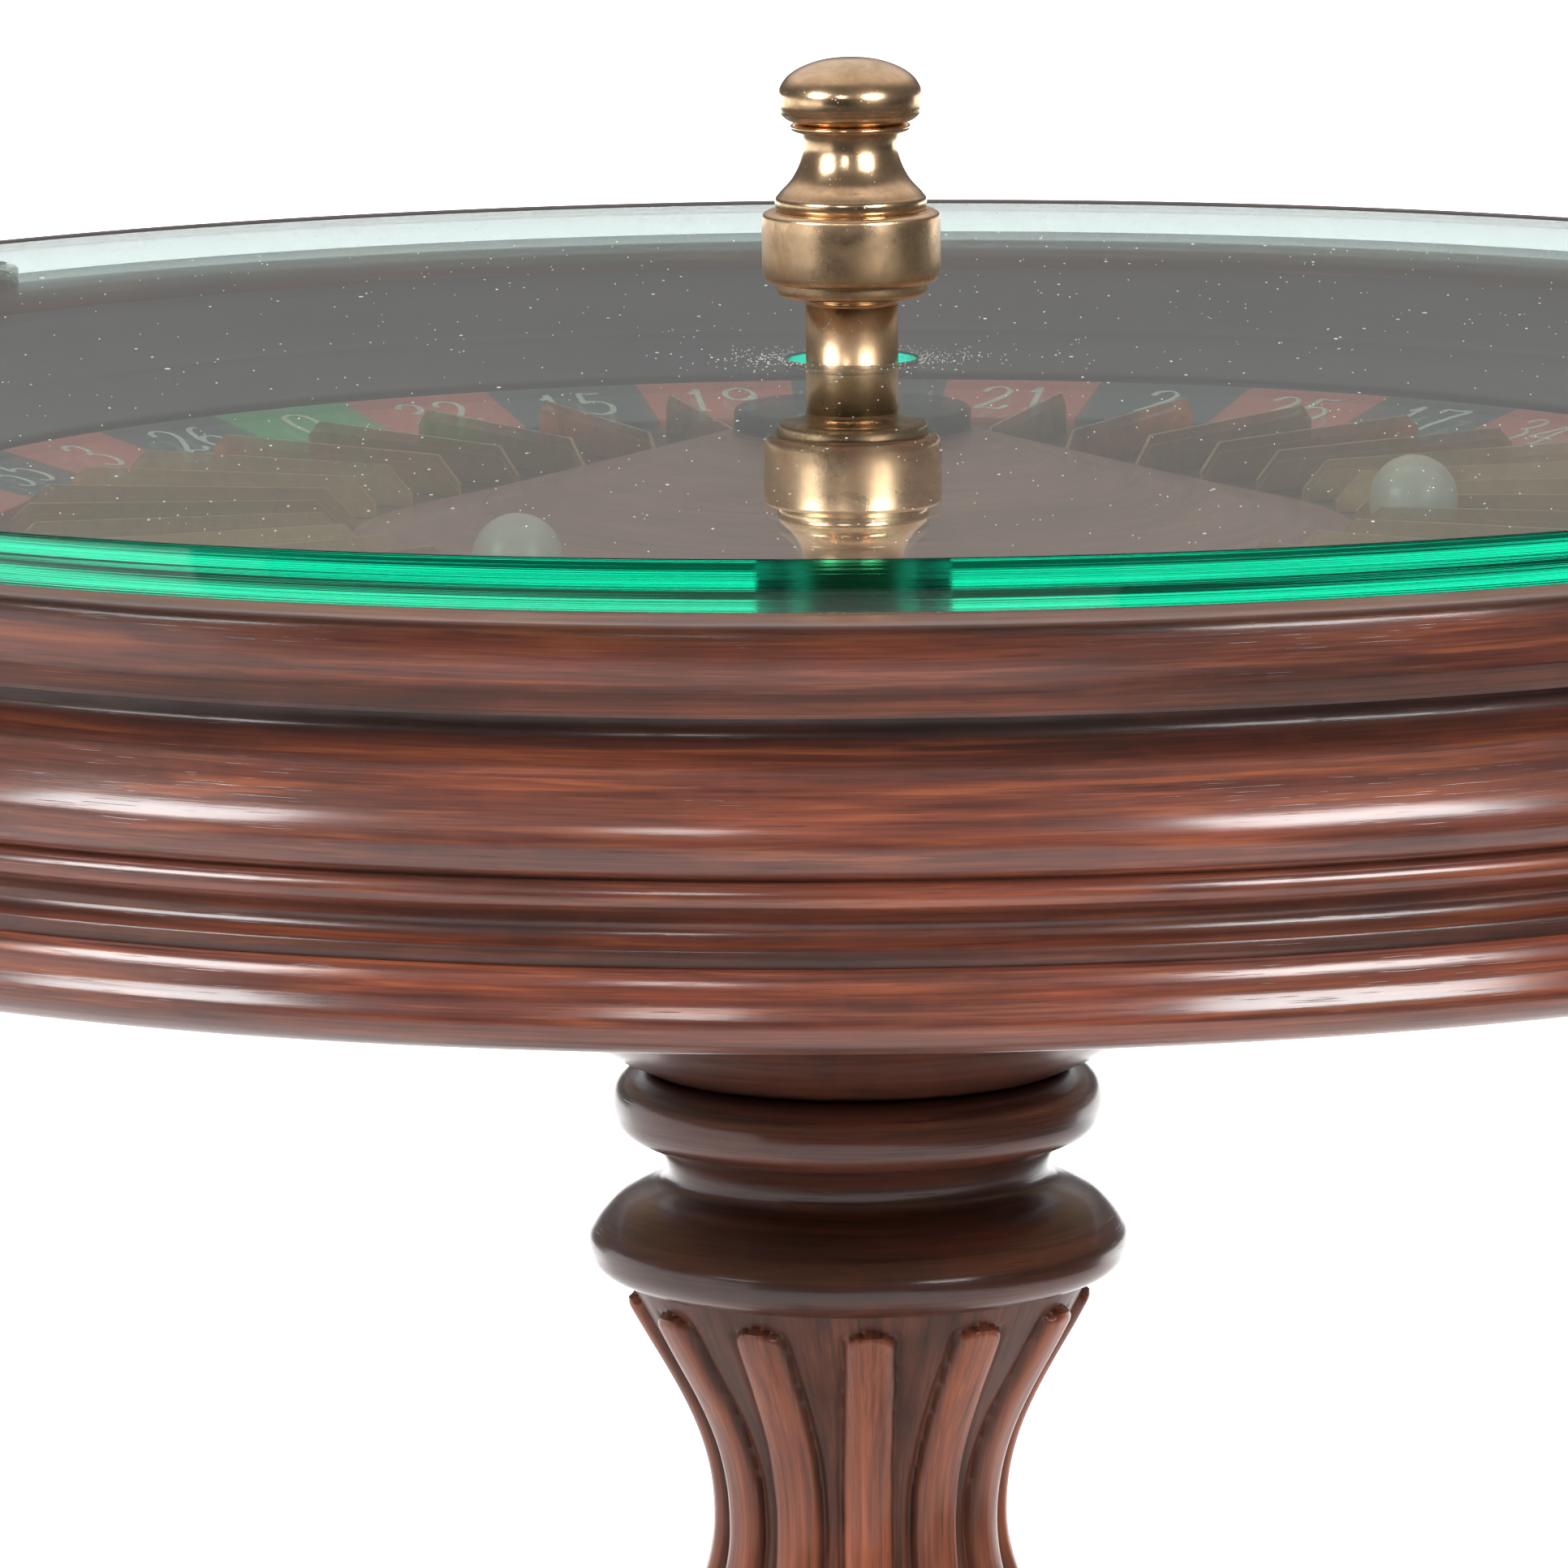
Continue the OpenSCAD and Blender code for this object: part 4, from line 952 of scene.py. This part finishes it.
def shaft_radius(z):
    """Radius over the reeds, in mm."""
    if z > WAIST_Z:
        t = (z - WAIST_Z) / (shaft_top - WAIST_Z)
        return WAIST_R + 24.6 * min(1.0, t * t * (1 + 0.27 * sin(pi * t)))
    if z > VASE_Z:
        return WAIST_R + (VASE_R - WAIST_R) * (1 - cos(pi * (WAIST_Z - z) / (WAIST_Z - VASE_Z))) / 2
    return FOOT_R + (VASE_R - FOOT_R) * sqrt(max(0.0, 1 - ((VASE_Z - z) / (VASE_Z - shaft_low)) ** 2))


def reeded_mesh():
    cols, rows = REEDS * 48, 220
    cell = TAU / REEDS
    reed_end, reed_start = shaft_top - 4.6, shaft_low + 5.0
    verts = np.zeros((rows + 1, cols, 3))
    hollow = np.zeros((rows + 1, cols))
    grain = np.zeros((rows + 1, cols, 3))
    for i in range(rows + 1):
        z = shaft_top + (shaft_low - shaft_top) * i / rows
        top_r = shaft_radius(z)
        for j in range(cols):
            t = j / cols * TAU
            local = (t - FIRST_REED + cell / 2) % cell - cell / 2
            across = local * top_r
            cut = noise.noise(Vector((cos(t) * 3, sin(t) * 3, z / 9.0))) * 0.25
            half = REED_W / 2 + cut
            side = abs(across) / half
            end = min(reed_end - z, z - reed_start) - 2.6 * min(side, 1.2) ** 2
            # the height of a reed: round over its width, round at its ends
            body = 0.0
            if side < 1:
                body = (1 - side ** 3.2) ** 0.55
            ends = min(1.0, max(0.0, end / 3.2))
            body *= sqrt(max(0.0, 1 - (1 - ends) ** 2))
            # the field between reeds, a little hollow beside each reed
            groove = exp(-((abs(across) - half - 0.7) / 1.1) ** 2)
            groove *= 1.0 if end > -1.2 else max(0.0, 1 + (end + 1.2) / 1.5)
            r = top_r - REED_DEPTH + REED_DEPTH * body - 0.7 * groove * (1 - body)
            r += 0.22 * noise.noise(Vector((cos(t) * 2.2, sin(t) * 2.2, z / 22.0 + 5)))
            verts[i, j] = (r * sin(t), -r * cos(t), z)
            beside = exp(-((abs(across) - half - 0.2) / 1.1) ** 2) if end > -0.6 else 0.0
            tip = 0.75 * exp(-((end + 0.3) / 1.0) ** 2) if side < 1.15 else 0.0
            field = 0.85 if side > 1.05 or end < 0 else 0.0
            hollow[i, j] = min(1.0, max(beside, tip, field))
            grain[i, j] = (z * MM + 13, t * GRAIN_R * MM, r * MM)
    verts *= MM
    faces = []
    for i in range(rows):
        for j in range(cols):
            a, b = i * cols + j, i * cols + (j + 1) % cols
            faces.append((a, a + cols, b + cols, b))
    points = verts.reshape(-1, 3).tolist()
    # caps, down to the rod's bore
    for z in (shaft_top, shaft_low):
        for j in range(cols):
            t = j / cols * TAU
            points.append((ROD_BORE * sin(t) * MM, -ROD_BORE * cos(t) * MM, z * MM))
    high, low = (rows + 1) * cols, (rows + 2) * cols
    for j in range(cols):
        k = (j + 1) % cols
        faces.append((j, k, high + k, high + j))
        faces.append((rows * cols + k, rows * cols + j, low + j, low + k))
        faces.append((high + j, high + k, low + k, low + j))
    mesh = new_mesh("reeded_wood", points, faces)
    set_floats(mesh, "hollow", np.concatenate([hollow.ravel(), np.zeros(2 * cols)]))
    set_grain(mesh, np.concatenate([grain.reshape(-1, 3), np.zeros((2 * cols, 3))]))
    mesh.update()
    return mesh


link("reeded_wood", reeded_mesh(), MAT_REEDED, "table", "mahogany", ("reeded_shaft",))

hub_top, hub_low = HUB_HIGH.z / MM, HUB_LOW.z / MM
base_face = curve_through(lifted(hub_top, [
    (ROD_BORE, 0, 1), (57, 0, 1), (61.2, 1.7), (63, 6), (61.2, 10.4), (57.4, 12, 1), (53.2, 14.2),
    (52.6, 18), (54.2, 24), (58.4, 34), (62.6, 38.4, 1), (67, 41), (69, 47), (67, 53), (62, 56.2, 1),
    (54, 58), (46.4, 63), (41.4, 74), (39.6, 84), (41.6, 91, 1), (46.4, 94), (49, 100), (46.8, 105.6),
    (42, 107.95, 1), (ROD_BORE, 107.95, 1)]), 5)
turned("lower_turning_wood", base_face, TURNED, "column_base", 256, 0.25, 35, 14.0)
hub_face = curve_through([
    (ROD_BORE, hub_low, 1), (55, hub_low, 1), (58.6, hub_low + 0.9), (59.9, hub_low + 3),
    (58.8, hub_low + 5.2), (56.4, hub_low + 6.2, 1), (58.0, hub_low + 8.0, 1), (58.0, hub_top - 8.0, 1),
    (56.4, hub_top - 6.2, 1), (58.8, hub_top - 5.2), (59.9, hub_top - 3), (58.6, hub_top - 0.9),
    (55, hub_top - 0.05, 1), (ROD_BORE, hub_top - 0.05, 1)], 4)
turned("hub_wood", hub_face, TURNED, "leg_hub", 256, 0.2, 35, 15.0, grain="along")
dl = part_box("hub_pendant")[0].z / MM
drop_face = curve_through(lifted(dl, [
    (0, 0, 1), (6, 0.9), (14, 3.4), (21, 8.2), (25.4, 14), (27.2, 19.4, 1), (29.8, 24), (35, 27.6),
    (42, 29.4), (46, 29.9, 1), (50, 32), (51, 35), (50, 38), (46, 39.95, 1), (12.1, 39.95, 1),
    (12.1, 22, 1), (0, 22, 1)]), 5)
turned("drop_wood", drop_face, TURNED, "hub_pendant", 192, 0.15, 30, 16.0)


# ---- legs

TOP_ARC = (380.0, 425.0, 404.0)
UNDER_ARC = (332.0, 434.0, 430.0)
LEG_HALF, CORNER = 17.0, 3.2
LEG_START, LEG_END, CAP_END = 57.5, 287.5, 290.0
BACK_STEPS = 24
HOLLOW_DEPTH = 1.9


def arc_height(arc_data, x, grow=0.0):
    cx, cz, r = arc_data
    return cz - sqrt(max(0.0, (r + grow) ** 2 - (x - cx) ** 2))


def leg_section(x, grow=0.0):
    """A section of a leg at distance x: flat sides, a reeded back with two hollows, soft corners."""
    low = arc_height(UNDER_ARC, x, grow)
    high = arc_height(TOP_ARC, x, -grow)
    half = LEG_HALF + grow
    inner = half - CORNER
    middle = low + (high - low) * 0.5
    points = [(-inner, low), (inner, low)]
    points += [(inner + CORNER * sin(a), low + CORNER - CORNER * cos(a)) for a in (0.5, 1.05, 1.5)]
    points += [(half, middle)]
    points += [(inner + CORNER * cos(a), high - CORNER + CORNER * sin(a)) for a in (0.0, 0.6, 1.2)]
    for i in range(BACK_STEPS + 1):
        y = inner * (1 - 2 * i / BACK_STEPS)
        dip = 0.0 if grow else HOLLOW_DEPTH * exp(-((abs(y) / inner - 0.52) / 0.13) ** 2)
        points.append((y, high - dip))
    points += [(-inner - CORNER * sin(a), high - CORNER + CORNER * cos(a)) for a in (0.4, 1.0, 1.57)]
    points += [(-half, middle)]
    points += [(-inner - CORNER * cos(a), low + CORNER - CORNER * sin(a)) for a in (0.05, 0.5, 1.05)]
    return points


def loft(name, sections):
    """A mesh through sections of (x, [(y, z), ...]) in mm, in the leg's own plane."""
    m = len(sections[0][1])
    verts, faces, grain = [], [], []
    run = 0.0
    for i, (x, loop) in enumerate(sections):
        if i:
            run += hypot(x - sections[i - 1][0], loop[0][1] - sections[i - 1][1][0][1])
        girth = 0.0
        for j, (y, z) in enumerate(loop):
            verts.append((x * MM, y * MM, z * MM))
            if j:
                girth += dist(loop[j], loop[j - 1])
            grain.append((run * MM, girth * MM, y * MM))
    for i in range(len(sections) - 1):
        for j in range(m):
            k = (j + 1) % m
            faces.append((i * m + j, i * m + k, (i + 1) * m + k, (i + 1) * m + j))
    faces.append(tuple(range(m))[::-1])
    faces.append(tuple((len(sections) - 1) * m + j for j in range(m)))
    mesh = new_mesh(name, verts, faces)
    set_grain(mesh, np.array(grain))
    co = np.array(verts) / MM
    depth = np.array([arc_height(TOP_ARC, x) for x in co[:, 0]]) - co[:, 2]
    set_floats(mesh, "hollow", np.clip(depth / HOLLOW_DEPTH, 0, 1) * (depth < 2.2))
    return mesh


leg_xs = [LEG_START + (LEG_END - LEG_START) * i / 60 for i in range(61)]
# Distance and thickness of a toe cap's sections
TOE_CAP = ((244, 1), (244.6, 2), (246, 2.4), (249, 2.4), (250, 3.4), (252, 4), (254, 3.4),
           (255, 2.4), (262, 2.4), (270, 2.4), (280, 2.4), (287.4, 2.4), (289.2, 1.8), (CAP_END, 0.4))
for i in range(1, 5):
    turn = Matrix.Rotation(pi / 4 + (i - 1) * pi / 2, 4, "Z")
    leg_mesh = loft(f"leg_{i}_wood", [(x, leg_section(x)) for x in leg_xs])
    leg_mesh.transform(turn)
    link(f"leg_{i}_wood", leg_mesh, MAT_REEDED, "table", "mahogany", (f"leg_{i}",))
    cap_mesh = loft(f"toe_cap_{i}_brass", [(x, leg_section(x, grow)) for x, grow in TOE_CAP])
    cap_mesh.transform(turn)
    link(f"toe_cap_{i}_brass", cap_mesh, MAT_CAP, "table", "brass", (f"toe_cap_{i}",))

# ---- CAD nodes that stay, with better materials

STEEL = ("standoff_screws board_screws bearing_housing housing_screws cleat_screws tie_rod tie_nuts "
         "hub_plate hub_screws pivot_shaft bearing_spacer shaft_nut").split()
for which in ("lower", "upper"):
    STEEL += [f"{which}_bearing_{part}" for part in ("outer", "inner", "balls")]
STAY = {"standoff_pads": MAT_PAD, "drum_board": MAT_BOARD, "foot_glides": MAT_FELT,
        "wheel_disc": MAT_POCKET, **dict.fromkeys(STEEL, MAT_STEEL)}
for name, material in STAY.items():
    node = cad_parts[name]
    node.data.materials.clear()
    node.data.materials.append(material)
